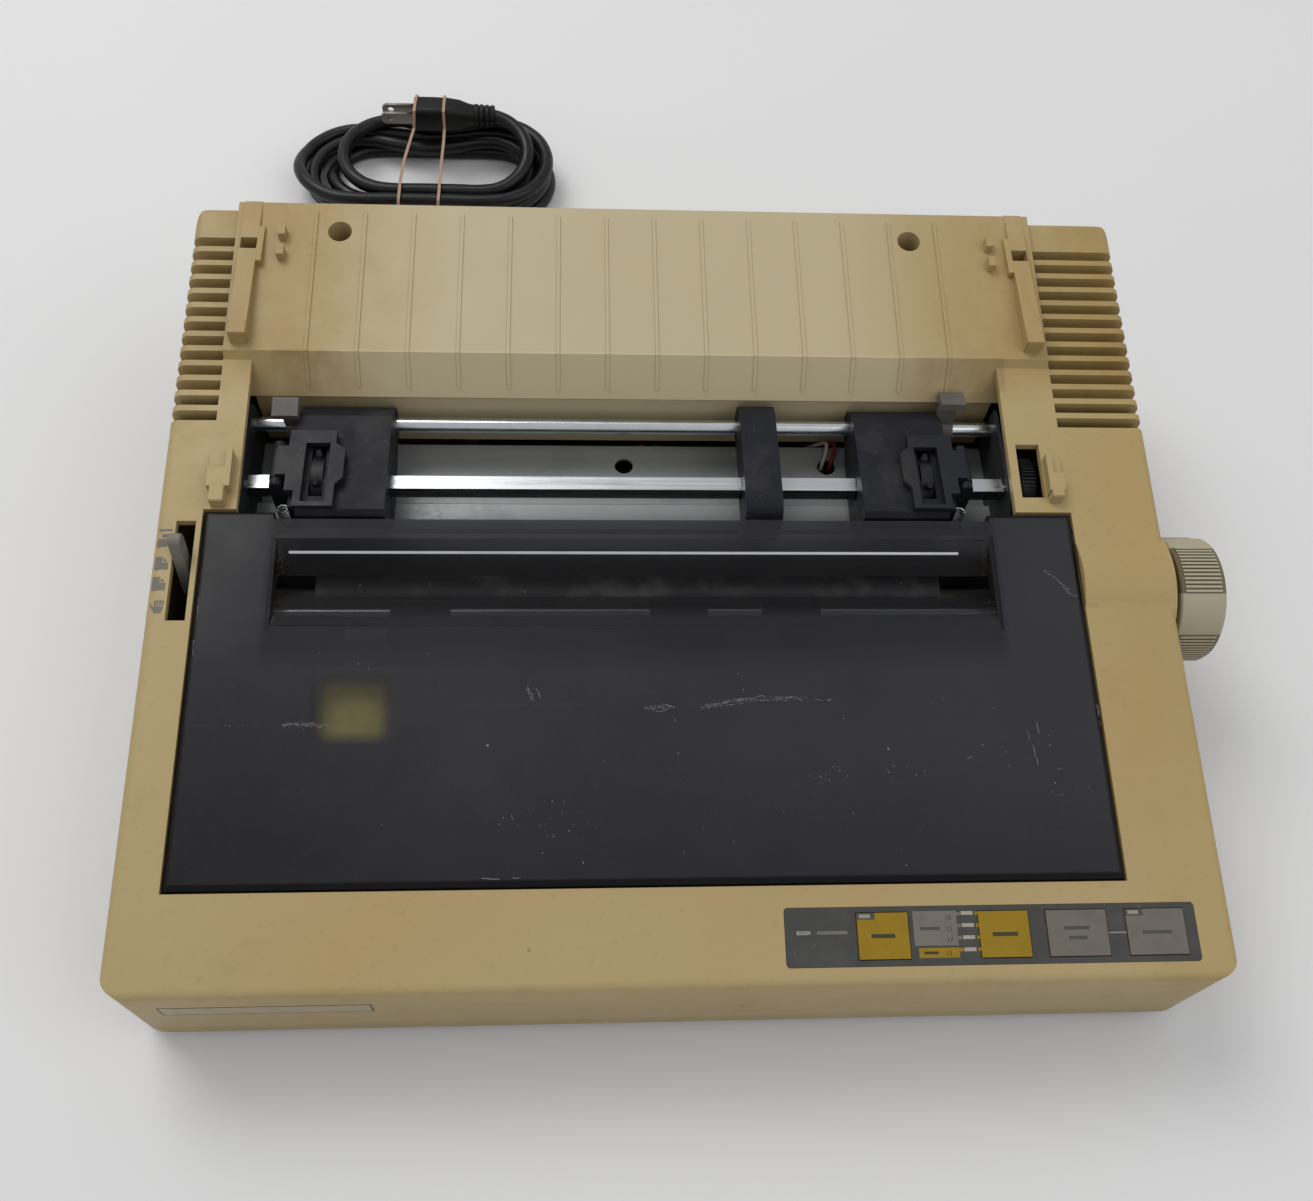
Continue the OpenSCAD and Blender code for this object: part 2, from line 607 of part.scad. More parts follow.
module platen_roller() color("#202124") difference() {
  rod_x(platen_x0, platen_x1, platen_y, platen_z, platen_d);
  rod_x(platen_x0 - 1, platen_x1 + 1, platen_y, platen_z, platen_shaft_d);
}

module platen_shaft() color("#b4b8ba") {
  rod_x(plate_l - 4, knob_x1 - 3, platen_y, platen_z, platen_shaft_d);
  rod_x(plate_l - 1.6, plate_l - 0.4, platen_y, platen_z, platen_shaft_d + 5);
  rod_x(plate_r + plate_t + 0.4, gear_x0, platen_y, platen_z, platen_shaft_d + 4);
}

knob_rib_n = 13;
knob_rib_step = 3.8;

module platen_knob() color("#aaa591") translate([knob_x0, platen_y, platen_z]) rotate([0, 90, 0])
    difference() {
  union() {
    rotate_extrude($fn = 96) polygon(concat([[0, 0], [knob_d / 2 - 1.2, 0]],
      [[knob_d / 2 - 0.6, 0.6], [knob_d / 2 - 0.6, knob_l - 2]],
      arc(knob_d / 2 - 2.4, knob_l - 2, 1.8, 0, 90), [[0, knob_l]]));
    for (a = [0:90:270], i = [0:knob_rib_n - 1]) rotate(a + (i - (knob_rib_n - 1) / 2) * knob_rib_step)
      translate([knob_d / 2 - 1.2, -0.45, 1.4]) cube([1.2, 0.9, knob_l - 4]);
  }
  translate([0, 0, -1]) cylinder(h = knob_l - 2, d = platen_shaft_d);
  translate([0, 0, -1]) difference() {
    cylinder(h = knob_l - 4, d = knob_d - 7);
    cylinder(h = knob_l, d = platen_shaft_d + 7);
  }
}

module gear_outline(teeth, bore) difference() {
  r = gear_m * teeth / 2;
  q = 90 / teeth;
  polygon([for (i = [0:teeth - 1], p = [[-0.92, -1.2], [-0.42, 0.9], [0.42, 0.9], [0.92, -1.2]])
    let (a = i * 360 / teeth + p[0] * q, s = r + p[1] * gear_m) [s * cos(a), s * sin(a)]]);
  circle(d = bore);
}

// A gear with a tooth at the angle phase, seen along X
module gear(y, z, teeth, bore, phase) along_x(gear_x0, gear_x0 + gear_t)
  translate([y, z]) rotate(phase) gear_outline(teeth, bore);

to_idler = atan2(idler_z - platen_z, idler_y - platen_y);
idler_phase = to_idler + 180 + 180 / idler_teeth;
to_tractor = atan2(tractor_z - idler_z, tractor_y - idler_y);
idler_step = 360 / idler_teeth;
idler_lag = (to_tractor - idler_phase) - idler_step * floor((to_tractor - idler_phase) / idler_step);
tractor_phase = to_tractor + 180 + 180 / tractor_teeth + idler_lag * idler_teeth / tractor_teeth;

module platen_gear() color("#26272b") gear(platen_y, platen_z, platen_teeth, platen_shaft_d, to_idler);
module idler_gear() color("#e4e0d2") gear(idler_y, idler_z, idler_teeth, axle_d + 2 * running, idler_phase);
module tractor_gear() color("#1c1d21") gear(tractor_y, tractor_z, tractor_teeth, journal_d, tractor_phase);

// ---- Tractor ----

module square_shaft() color("#b9bec0") {
  translate([plate_l + plate_t + 1, tractor_y - square_w / 2, tractor_z - square_w / 2])
    cube([plate_r - plate_l - plate_t - 2, square_w, square_w]);
  rod_x(plate_l - 2, plate_l + plate_t + 1.5, tractor_y, tractor_z, journal_d);
  rod_x(plate_r - 1.5, gear_x0 + gear_t + 1, tractor_y, tractor_z, journal_d);
}

module round_shaft() color("#c4c8ca") rod_x(plate_l - 1.5, plate_r + plate_t + 1.5, rod_y, tractor_z,
  rod_d);

wheel_w = 4.6;
hub_d = 12;
tractor_out = 9.8;
tractor_in = 26.4;
body_top = 11;
// The body's outer front corner stays clear of the cover's ear
corner_cut = 2.8;
flap_gap = 1.2;
flap_t = 2.4;
flap_z = tractor_z + body_top + flap_gap;
flap_pivot_x = 15.2;
flap_pivot_z = flap_z - 1.6;
flap_pin_d = 2.2;
flap_y0 = tractor_y - 12;
flap_y1 = tractor_y + 16;
pin_d = 3.4;

// Both tractors are drawn for the left side, with the pin row at x = 0
module tractor_body() difference() {
  union() {
    along_x(-tractor_out, tractor_in) {
      polygon([[tractor_y - 20, tractor_z - 4], [tractor_y - 20, tractor_z + body_top - 2],
        [tractor_y - 18, tractor_z + body_top], [rod_y - 4, tractor_z + body_top],
        [rod_y + 2, tractor_z + 7],
        [rod_y + 5, tractor_z - 3], [rod_y, tractor_z - 7], [tractor_y + 8, tractor_z - 14],
        [tractor_y - 8, tractor_z - 14]]);
      translate([rod_y, tractor_z]) circle(r = 7);
    }
    along_x(-tractor_out - 8, -tractor_out + 1)
      polygon([[flap_y0 + 4, tractor_z - 6], [flap_y0 + 4, flap_pivot_z - 3.6],
      [flap_y1 - 4, flap_pivot_z - 3.6], [flap_y1 - 4, tractor_z - 6]]);
    for (y = [flap_y0 + 4, flap_y1 - 7]) translate([-flap_pivot_x, y, 0]) rotate([-90, 0, 0])
      linear_extrude(3) translate([0, -flap_pivot_z]) union() {
        circle(d = 5);
        translate([-2.5, 0]) square([5, 5]);
      }
    along_x(-tractor_out - 6, -tractor_out + 1)
      polygon([[flap_y0 - 5, tractor_z - 8], [flap_y0 - 5, tractor_z - 4],
      [flap_y0 + 5, tractor_z - 4], [flap_y0 + 5, tractor_z - 8]]);
  }
  rod_x(-tractor_out - 10, tractor_in + 1, rod_y, tractor_z, rod_d + 2 * running);
  rod_x(-tractor_out - 10, tractor_in + 1, tractor_y, tractor_z, square_w * sqrt(2) + 2 * clear);
  rod_x(-tractor_out - 10, tractor_in - 9.4, tractor_y, tractor_z, hub_d + 2 * running);
  rod_x(-wheel_w / 2 - clear, wheel_w / 2 + clear, tractor_y, tractor_z, wheel_d + 2 * pin_h + 2.4);
  translate([-flap_pivot_x, flap_y0, flap_pivot_z]) rotate([-90, 0, 0])
    cylinder(h = 40, d = flap_pin_d + 2 * running);
  translate([-tractor_out - 1, tractor_y - 21, tractor_z - 20]) cube([corner_cut + 1, corner_cut + 1, 40]);
}

module at_left() translate([pin_xl, 0, 0]) children();
module at_right() translate([pin_xr, 0, 0]) mirror([1, 0, 0]) children();

module tractor_left() color("#2a2b33") at_left() tractor_body();
module tractor_right() color("#2a2b33") at_right() tractor_body();

module pin_wheel() difference() {
  union() {
    rod_x(-wheel_w / 2, wheel_w / 2, tractor_y, tractor_z, wheel_d);
    rod_x(-tractor_out + 0.4, tractor_in - 9.8, tractor_y, tractor_z, hub_d);
    for (a = [30:60:330]) translate([0, tractor_y, tractor_z]) rotate([a, 0, 0])
      translate([0, 0, wheel_d / 2 - 1])
      rotate_extrude() polygon([[0, 0], [pin_d / 2, 0], [pin_d / 2, 2.4], [pin_d / 2 - 0.9, pin_h + 1],
        [0, pin_h + 1]]);
  }
  translate([-tractor_out - 1, tractor_y - square_w / 2 - running, tractor_z - square_w / 2 - running])
    cube([tractor_out + tractor_in, square_w + 2 * running, square_w + 2 * running]);
}

module pin_wheel_left() color("#33343c") at_left() pin_wheel();
module pin_wheel_right() color("#33343c") at_right() pin_wheel();

module pin_flap() difference() {
  union() {
    translate([-flap_pivot_x, flap_y0 + 7.4, flap_z])
      cube([flap_pivot_x - 10, flap_y1 - flap_y0 - 14.8, flap_t]);
    translate([0, 0, flap_z]) linear_extrude(flap_t) polygon([[-11, flap_y0], [-11, flap_y1], [-2, flap_y1],
      [6.6, flap_y1], [6.6, flap_y1 - 6], [10.4, flap_y1 - 9], [10.4, flap_y0 + 6], [7.6, flap_y0 + 3],
      [7.6, flap_y0 - 7],
      [-7.4, flap_y0 - 7], [-7.4, flap_y0]]);
    translate([-flap_pivot_x, flap_y0 + 7.4, flap_pivot_z]) rotate([-90, 0, 0])
      cylinder(h = flap_y1 - flap_y0 - 14.8, d = 5.4);
    for (y = [flap_y0 + 4.4, flap_y1 - 7.8]) translate([-flap_pivot_x, y, flap_pivot_z]) rotate([-90, 0, 0])
      cylinder(h = 3.4, d = flap_pin_d);
  }
  translate([-4.6, flap_y0 - 5, flap_z - 1]) cube([9.2, 27, flap_t + 2]);
}

module pin_cover_left() color("#24252c") at_left() pin_flap();
module pin_cover_right() color("#24252c") at_right() pin_flap();

module lock_arm(angle) translate([0, rod_y, tractor_z]) rotate([angle, 0, 0]) difference() {
  union() {
    along_x(-tractor_out - 6.4, -tractor_out - 0.4) {
      circle(d = rod_d + 6);
      polygon([[-3.4, 0], [-2.6, 15], [2.2, 15], [3.6, 0]]);
    }
    translate([-tractor_out - 9.6, -4, 12.6]) cube([10, 8, 3.4]);
  }
  rod_x(-tractor_out - 12, 0, 0, 0, rod_d + 2 * running);
}

module lock_lever_left() color("#6b6664") at_left() lock_arm(12);
module lock_lever_right() color("#6b6664") at_right() lock_arm(-14);

spring_x = -tractor_out - 3;
spring_y = flap_y0 - 2;
spring_r = 2.2;
spring_wire = 0.8;
spring_turns = 5;
spring_h = 9;

// Rings of a round tube along a list of points
function tube_ring(points, i, d, sides, up) = let (
    n = len(points),
    t = points[min(i + 1, n - 1)] - points[max(i - 1, 0)],
    u = cross(t, up),
    a = u / norm(u),
    v = cross(a, t),
    b = v / norm(v))
  [for (k = [0:sides - 1]) points[i] + d / 2 * (a * cos(360 * k / sides) + b * sin(360 * k / sides))];

module tube(points, d, sides, up) {
  n = len(points);
  polyhedron(
    points = [for (i = [0:n - 1]) each tube_ring(points, i, d, sides, up)],
    faces = concat(
      [[for (k = [0:sides - 1]) k]],
      [[for (k = [sides - 1:-1:0]) (n - 1) * sides + k]],
      [for (i = [0:n - 2], k = [0:sides - 1]) let (j = (k + 1) % sides)
        each [[i * sides + k, (i + 1) * sides + k, (i + 1) * sides + j],
          [i * sides + k, (i + 1) * sides + j, i * sides + j]]]));
}

module coil_spring() translate([spring_x, spring_y, tractor_z - 4 + spring_wire / 2])
  tube([for (i = [0:spring_turns * 9]) [spring_r * cos(i * 40), spring_r * sin(i * 40),
    spring_h * i / (spring_turns * 9)]], spring_wire, 5, [0, 0, 1]);

module spring_left() color("#a9acae") at_left() coil_spring();
module spring_right() color("#a9acae") at_right() coil_spring();

support_x0 = pin_mid_x + 46;
support_w = 14.5;

module paper_support() color("#1d1e22") difference() {
  along_x(support_x0, support_x0 + support_w) polygon(concat(
    [[tractor_y - 19, tractor_z - 8], [tractor_y - 19.6, tractor_z + body_top - 5]],
    arc(tractor_y - 11, tractor_z + body_top - 8, 8, 160, 100),
    [[tractor_y - 3, tractor_z + body_top]],
    arc(rod_y - 2, tractor_z + 2, 9, 90, 0),
    [[rod_y + 6, tractor_z - 6], [rod_y - 6, tractor_z - 6], [tractor_y + 9, tractor_z - 5],
    [tractor_y + 7, tractor_z - 8]]));
  rod_x(support_x0 - 1, support_x0 + support_w + 1, rod_y, tractor_z, rod_d + 2 * running);
  rod_x(support_x0 - 1, support_x0 + support_w + 1, tractor_y, tractor_z, square_w * sqrt(2) + 2 * clear);
}

// ---- Paper bail and release lever ----

bail_xl = plate_l + plate_t + 1;
bail_xr = plate_r - 3.4;
bail_arm_t = 2.4;

module bail_arm(x) along_x(x, x + bail_arm_t) difference() {
  union() {
    translate(bail_pivot) circle(d = axle_d + 6);
    translate([bail_y, bail_z]) circle(d = bail_d + 4);
    polygon([bail_pivot + [-5, 0], bail_pivot + [5, 0], [bail_y + 3.4, bail_z], [bail_y - 3.4, bail_z]]);
  }
  translate(bail_pivot) circle(d = axle_d + 2 * running);
  translate([bail_y, bail_z]) circle(d = bail_d);
}

module bail_frame() color("#2b2c2f") {
  bail_arm(bail_xl);
  bail_arm(bail_xr);
}

module bail_rod() color("#c2c5c6") rod_x(bail_xl - 0.4, bail_xr + bail_arm_t + 0.4, bail_y, bail_z, bail_d);

roller_x = [platen_x0 + 29.2, platen_x0 + 125.7, platen_x0 + 168.4];
roller_l = 21.5;

module bail_rollers() color("#1b1b1d") for (x = roller_x) difference() {
  rod_x(x, x + roller_l, bail_y, bail_z, roller_d);
  rod_x(x - 1, x + roller_l + 1, bail_y, bail_z, bail_d + 2 * running);
  for (u = [4:4.5:roller_l - 3]) translate([x + u, bail_y, bail_z]) rotate([0, 90, 0]) difference() {
    cylinder(h = 0.8, d = roller_d + 2);
    cylinder(h = 0.8, d = roller_d - 1);
  }
}

lever_t = 3;
lever_tilt = 12;
lever_l = deck_z(lever_y) - lever_pivot[1] + 8;

module release_lever() color("#6f6a66") translate([lever_x, lever_pivot[0], lever_pivot[1]])
    rotate([-lever_tilt, 0, 0]) {
  along_x(-lever_t / 2, lever_t / 2) difference() {
    union() {
      circle(d = lever_pin_d + 7);
      polygon([[-5, 0], [-2.6, lever_l - 8], [2.6, lever_l - 8], [5, 0]]);
    }
    circle(d = lever_pin_d + 2 * running);
  }
  along_x(-lever_t / 2 - 1.4, lever_t / 2 + 0.6) polygon(concat(
    [[-4, lever_l - 9], [4, lever_l - 9]], arc(1, lever_l - 3, 3, 0, 90),
    arc(-1, lever_l - 3, 3, 90, 180)));
}

// ---- Carriage ----

carriage_x = platen_x0 + 18;
carriage_w = 44;
head_w = 24;
head_top = platen_z + 1.5;
cartridge_t = 8;

module carriage_rods() color("#b9bdbf") for (y = [rod_a_y, rod_b_y])
  rod_x(plate_l - 1, plate_r + plate_t + 1, y, rods_z, slide_rod_d);

module carriage() color("#2d2e33") translate([carriage_x, 0, 0]) difference() {
  union() {
    translate([-carriage_w / 2, rod_b_y - 6, rods_z - 1]) cube([carriage_w, rod_a_y - rod_b_y + 12, 7]);
    along_x(-carriage_w / 2, carriage_w / 2) translate([rod_a_y, rods_z]) circle(d = slide_rod_d + 4);
    translate([-carriage_w / 2, rod_b_y - 6, rods_z - 7]) cube([10, 12, 10]);
    translate([carriage_w / 2 - 10, rod_b_y - 6, rods_z - 7]) cube([10, 12, 10]);
    for (x = [-carriage_w / 2, carriage_w / 2 - 3]) along_x(x, x + 3) polygon([[rod_b_y - 2, rods_z + 5],
      [rod_b_y + 4, head_top + 0.5], [rod_a_y + 4, head_top + 0.5], [rod_a_y + 6, rods_z + 5]]);
    translate([-8, belt_y + pulley_r - 2, belt_z - 3])
      cube([16, rod_b_y - belt_y - pulley_r - 3, belt_w + 3.5]);
    translate([-8, rod_b_y - 6.5, belt_z - 3]) cube([16, 3, rods_z + 4 - belt_z]);
  }
  translate([-10, belt_y + pulley_r - clear, belt_z - clear]) cube([20, belt_t + 2 * clear, belt_w + 4]);
  rod_x(-carriage_w, carriage_w, rod_a_y, rods_z, slide_rod_d + 2 * running);
  rod_x(-carriage_w, carriage_w, rod_b_y, rods_z, slide_rod_d + 2 * running);
}

module print_head() color("#3b3d42") translate([carriage_x, 0, 0]) difference() {
  union() {
    translate([-head_w / 2, rod_b_y + 8, rods_z + 6])
      cube([head_w, rod_a_y - rod_b_y - 4, head_top - rods_z - 6]);
    along_x(-8, 8) polygon([[rod_a_y, rods_z + 6], [rod_a_y, head_top],
      [platen_y - platen_d / 2 - 1, platen_z + 1],
      [platen_y - platen_d / 2 - 1, platen_z - 5], [rod_a_y + 12, rods_z + 6]]);
  }
  for (y = [rod_b_y + 11:4:rod_a_y - 2]) translate([-head_w / 2 - 1, y, rods_z + 10]) cube([8, 2, 30]);
  for (y = [rod_b_y + 11:4:rod_a_y - 2]) translate([head_w / 2 - 7, y, rods_z + 10]) cube([8, 2, 30]);
}

module ribbon_cartridge() color("#232427") translate([carriage_x, 0, head_top + 0.5]) difference() {
  union() {
    linear_extrude(cartridge_t) rounded_rect(-cartridge_w / 2, cartridge_w / 2, rod_b_y + 4, rod_a_y + 6,
      6);
    for (x = [-cartridge_w / 2 + 8, cartridge_w / 2 - 14])
      translate([x, rod_a_y + 2, -4]) cube([6, platen_y - platen_d / 2 - 5 - rod_a_y, 5.4]);
    translate([-cartridge_w / 2 + 16, rod_b_y + 20, cartridge_t - 0.01]) cylinder(h = 0.8, d = 17);
  }
  translate([-cartridge_w / 2 + 16, rod_b_y + 20, cartridge_t - 3]) cylinder(h = 5, d = 4 + 2 * running);
}

module ribbon_knob() color("#3d3f44") translate([carriage_x - cartridge_w / 2 + 16, rod_b_y + 20,
    head_top + 0.5 + cartridge_t]) {
  translate([0, 0, 1.1]) linear_extrude(1.6) difference() {
    circle(d = 14);
    for (a = [0:30:330]) rotate(a) translate([7.4, 0]) circle(d = 1.8);
  }
  translate([0, 0, -2.6]) cylinder(h = 4, d = 4);
}

module timing_belt() color("#17171a") translate([0, belt_y, belt_z]) linear_extrude(belt_w) difference() {
  rounded_rect(pulley_xl - pulley_r - belt_t, pulley_xr + pulley_r + belt_t, -pulley_r - belt_t,
    pulley_r + belt_t, pulley_r + belt_t - 0.01);
  rounded_rect(pulley_xl - pulley_r, pulley_xr + pulley_r, -pulley_r, pulley_r, pulley_r - 0.01);
}

module pulley(bore) difference() {
  union() {
    translate([0, 0, belt_z + 0.2]) cylinder(h = belt_w + 1, r = pulley_r - 0.1);
    translate([0, 0, belt_z + belt_w + 0.5]) cylinder(h = 1, r = pulley_r + 2);
  }
  translate([0, 0, belt_z - 1]) cylinder(h = belt_w + 6, d = bore);
}

module drive_pulley() color("#d8d4c6") translate([pulley_xl, belt_y, 0]) {
  pulley(axle_d - 0.5);
  translate([0, 0, belt_z - 9]) cylinder(h = belt_w + 12, d = axle_d);
}

module idler_pulley() color("#d8d4c6") translate([pulley_xr, belt_y, 0]) pulley(axle_d + 2 * running);

motor_top = rods_z - 8.5;

module carriage_motor() color("#5c6064") translate([pulley_xl, belt_y, 0]) difference() {
  union() {
    translate([0, 0, case_floor]) cylinder(h = motor_top - case_floor, d = 42);
    translate([-22, -22, motor_top - 2]) linear_extrude(2) rounded_rect(0, 44, 0, 44, 5);
    translate([0, 0, motor_top - 0.5]) cylinder(h = 2, d = 12);
  }
  translate([0, 0, motor_top - 10]) cylinder(h = 20, d = axle_d + 2 * running);
}

// ---- Power supply, board and panel ----

core_w = 58;
core_d = case_d - chassis_y1 - 36;
core_h = 46;
core_limb = 12;
coil_reach = 6;

module transformer() color("#6a5a3c") translate([board_x0 - core_w - 12, chassis_y1 + coil_reach + 1,
    case_floor]) {
  for (z = [0, core_h - core_limb]) translate([0, 0, z]) cube([core_w, core_d, core_limb]);
  for (x = [0, core_w - core_limb]) translate([x, 0, core_limb - 1])
    cube([core_limb, core_d, core_h - 2 * core_limb + 2]);
  translate([core_limb, -coil_reach, core_limb])
    cube([core_w - 2 * core_limb, core_d + 2 * coil_reach, core_h - 2 * core_limb]);
}

module circuit_board() color("#3f5a34") difference() {
  translate([board_x0, board_y0, board_z]) cube([board_x1 - board_x0, board_y1 - board_y0, 1.6]);
  translate([well_x[1], well_y, board_z - 1]) cylinder(h = 4, d = well_d + 8);
}

chip_w = 48;
chip_d = 14;
can_d = 9;
can_h = 18;
sink_w = 40;
sink_h = 22;
part_pitch = (board_x1 - board_x0) / 4;

module board_parts() color("#26262a") translate([0, 0, board_z + 1.6]) {
  for (i = [0.5:2.5]) translate([board_x0 + i * part_pitch, board_y0 + chip_d, 0])
    cube([chip_w, chip_d, 4]);
  for (i = [1:4]) translate([board_x0 + i * 1.6 * can_d, board_y1 - 1.5 * can_d, 0])
    cylinder(h = can_h, d = can_d);
  translate([board_x1 - 1.5 * sink_w, board_y1 - 20, 0]) cube([sink_w, 4, sink_h]);
}

wire_d = 1.6;
wire_x = [pin_mid_x + 1.6, pin_mid_x - 1.6, pin_mid_x + 83.4, pin_mid_x + 86.8];

// Each lead rises from the board, crosses the pan's rear lip and dips into its hole
module wiring() color("#8c1f1c") for (x = wire_x) tube(smooth([[x, board_y0 + 2, board_z + 1.5],
  [x + 1, board_y0 + 1.6, board_z + 12], [x + 2, board_y0 - 5, platen_z - 14],
  [x + 2, rod_y + 9, platen_z - 4],
  [x + 1, rod_y + 4, platen_z + 2.6], [x, rod_y - 1, platen_z + 3], [x, rod_y - 5.6, platen_z + 0.8],
  [x, rod_y - 6.6, platen_z - 2.6]], 3), wire_d, 6, [1, 0, 0]);

module interface_port() color("#2c2d31") translate([port_x + 0.5, case_d - wall - 18, board_z + 1.6])
    difference() {
  translate([0, 0, 0]) cube([port_w - 1, wall + 17.5, 15]);
  translate([8, wall + 10, 4]) cube([port_w - 17, 10, 8]);
}

switch_w = 22;
switch_h = 14;
switch_z = 30;
rocker_r = 8;
rocker_y = case_d - rocker_r - 0.5;

module power_switch() color("#1c1c1f") difference() {
  translate([switch_x + 0.3, case_d - 16, switch_z + 0.3]) cube([switch_w - 0.6, 15.7, switch_h - 0.6]);
  rod_x(switch_x + 2, switch_x + switch_w - 2, rocker_y, switch_z + switch_h / 2, 2 * rocker_r + 2 * clear);
}

module switch_rocker() color("#26262a") along_x(switch_x + 2.4, switch_x + switch_w - 2.4)
  translate([rocker_y, switch_z + switch_h / 2]) rotate(-7) intersection() {
    circle(r = rocker_r);
    polygon([[-rocker_r, -5.4], [rocker_r - 0.4, -5.4], [rocker_r - 1.8, 0], [rocker_r - 0.4, 5.4],
      [-rocker_r, 5.4]]);
  }

module panel_outline() rounded_rect(0.15, panel_w - 0.15, 0.15, panel_d - 0.15, 1.4);

module control_panel() color("#4a4a4c") difference() {
  on_deck(panel_x0, panel_front, -panel_t) linear_extrude(panel_t + 0.1) panel_outline();
  for (i = [0:3]) on_deck(panel_x0 + button_x[i], panel_front + button_y, -wall)
    translate([-0.3, -0.3, 0]) cube([button_w[i] + 0.6, button_d + 0.6, 10]);
  for (p = lamp_places) on_deck(panel_x0 + p[0], panel_front + p[1], -wall) cube([p[2], 1.5, 10]);
}

lamp_places = [[4, 10.6, 4.2], [61.2, 16.4, 4.4], [61.2, 12.4, 4.4], [61.2, 8.4, 4.4], [61.2, 4.4, 4.4]];

module indicator_lamps() color("#c9c6b4") for (p = lamp_places)
  on_deck(panel_x0 + p[0] + 0.1, panel_front + p[1] + 0.1, -panel_t + 0.01)
    cube([p[2] - 0.2, 1.3, panel_t + 0.2]);

module button(i) on_deck(panel_x0 + button_x[i], panel_front + button_y, -wall + 0.6) {
  cube([button_w[i], button_d, wall - 0.1]);
}

module button_a() color("#a88a20") button(0);
module button_b() color("#a88a20") button(1);
module button_c() color("#77716a") button(2);
module button_d() color("#77716a") button(3);

// ---- Power cord ----

hank_x = -115;
hank_y = 438;
hank_z = 0.3;
// Route of the free lead from the strain relief to the tied bundle
lead_points = [[-148, 334, 26], [-148, 339, 25.7], [-148, 347, 23.2], [-148, 354, 19], [-148, 361, 13.6],
  [-148, 368, 8.6],
  [-148, 375, 5.2], [-147.6, 383, 3.9], [-145.4, 391, 3.8], [-141.6, 397.6, 3.8], [-136.4, 402.6, 3.8],
  [-131, 405.6, 3.8]];

function spline(p, i, t) = let (
    n = len(p) - 1,
    a = p[max(i - 1, 0)], b = p[i], c = p[i + 1], d = p[min(i + 2, n)])
  0.5 * (2 * b + (c - a) * t + (2 * a - 5 * b + 4 * c - d) * t * t + (3 * b - a - 3 * c + d) * t * t * t);

function smooth(p, m) = concat([for (i = [0:len(p) - 2], k = [0:m - 1]) spline(p, i, k / m)],
  [p[len(p) - 1]]);

module strain_relief() color("#1a1a1c") translate([cord_x, case_d, cord_z]) rotate([-90, 0, 0])
    difference() {
  union() {
    translate([0, 0, -wall - 3]) cylinder(h = 3 - 0.1, d = cord_d + 9);
    translate([0, 0, -wall - 1]) cylinder(h = wall + 1.2, d = cord_d + 4.8);
    translate([0, 0, 0.2]) cylinder(h = 2, d = cord_d + 8);
    translate([0, 0, 2]) cylinder(h = 22, d1 = cord_d + 5, d2 = cord_d + 1.6);
  }
  for (z = [6:4:20]) translate([0, 0, z]) difference() {
    cylinder(h = 1.4, d = cord_d + 9);
    cylinder(h = 1.4, d = cord_d + 1);
  }
}

module cord_lead() color("#141416") tube(smooth(lead_points, 2), cord_d, 10, [1, 0, 0]);

module cord_hank() color("#141416") translate([hank_x, hank_y, hank_z]) linear_extrude(hank_h)
  rounded_rect(-hank_l / 2, hank_l / 2, -hank_w / 2, hank_w / 2, hank_w / 2 - 0.01);

plug_l = 31;
plug_w = 17;
plug_h = 14;
blade_l = 17;

plug_x = hank_x + 10;
plug_y = hank_y + 22.5;

module power_plug() color("#17171a") translate([plug_x, plug_y, hank_z + hank_h]) {
  linear_extrude(plug_h) rounded_rect(-plug_l / 2, plug_l / 2, -plug_w / 2, plug_w / 2, 3);
  translate([plug_l / 2 - 1, 0, plug_h / 2]) rotate([0, 90, 0])
    cylinder(h = 12, d1 = cord_d + 3, d2 = cord_d + 1);
  for (y = [-7, 5.5]) translate([-plug_l / 2 - blade_l, y, plug_h / 2 - 3.2]) cube([blade_l + 1, 1.5, 6.4]);
}

band_w = 2;
band_t = 1;
band_x = [hank_x - 11, hank_x + 9];

// One thin band holds the bundle, the other holds the plug on it as well
module band_ring(x, bumped) difference() {
  translate([x - band_w / 2, 0, 0]) along_x(0, band_w) {
    translate([hank_y - hank_w / 2 - band_t, hank_z]) square([hank_w + 2 * band_t, hank_h + band_t]);
    if (bumped) translate([plug_y - plug_w / 2 - band_t, hank_z + hank_h])
      square([plug_w + 2 * band_t, plug_h + band_t]);
  }
  translate([x - band_w, 0, 0]) along_x(0, 2 * band_w) {
    translate([hank_y - hank_w / 2, hank_z - 1]) square([hank_w, hank_h + 1]);
    if (bumped) translate([plug_y - plug_w / 2, hank_z]) square([plug_w, hank_h + plug_h]);
  }
}

module cord_band() color("#b58c63") {
  band_ring(band_x[0], false);
  band_ring(band_x[1], true);
}

placed() lower_case();
placed() upper_case();
placed() rubber_feet();
placed() case_screws();
placed() smoke_cover();
placed() tear_bar();
placed() chassis();
placed() platen_roller();
placed() platen_shaft();
placed() platen_knob();
placed() platen_gear();
placed() idler_gear();
placed() tractor_gear();
placed() square_shaft();
placed() round_shaft();
placed() paper_pan();
placed() tractor_left();
placed() tractor_right();
placed() pin_wheel_left();
placed() pin_wheel_right();
placed() pin_cover_left();
placed() pin_cover_right();
placed() lock_lever_left();
placed() lock_lever_right();
placed() spring_left();
placed() spring_right();
placed() paper_support();
placed() bail_frame();
placed() bail_rod();
placed() bail_rollers();
placed() release_lever();
placed() carriage_rods();
placed() carriage();
placed() print_head();
placed() ribbon_cartridge();
placed() ribbon_knob();
placed() timing_belt();
placed() drive_pulley();
placed() idler_pulley();
placed() carriage_motor();
placed() transformer();
placed() circuit_board();
placed() board_parts();
placed() wiring();
placed() interface_port();
placed() power_switch();
placed() switch_rocker();
placed() control_panel();
placed() button_a();
placed() button_b();
placed() button_c();
placed() button_d();
placed() indicator_lamps();
placed() strain_relief();
placed() cord_lead();
placed() cord_hank();
placed() power_plug();
placed() cord_band();
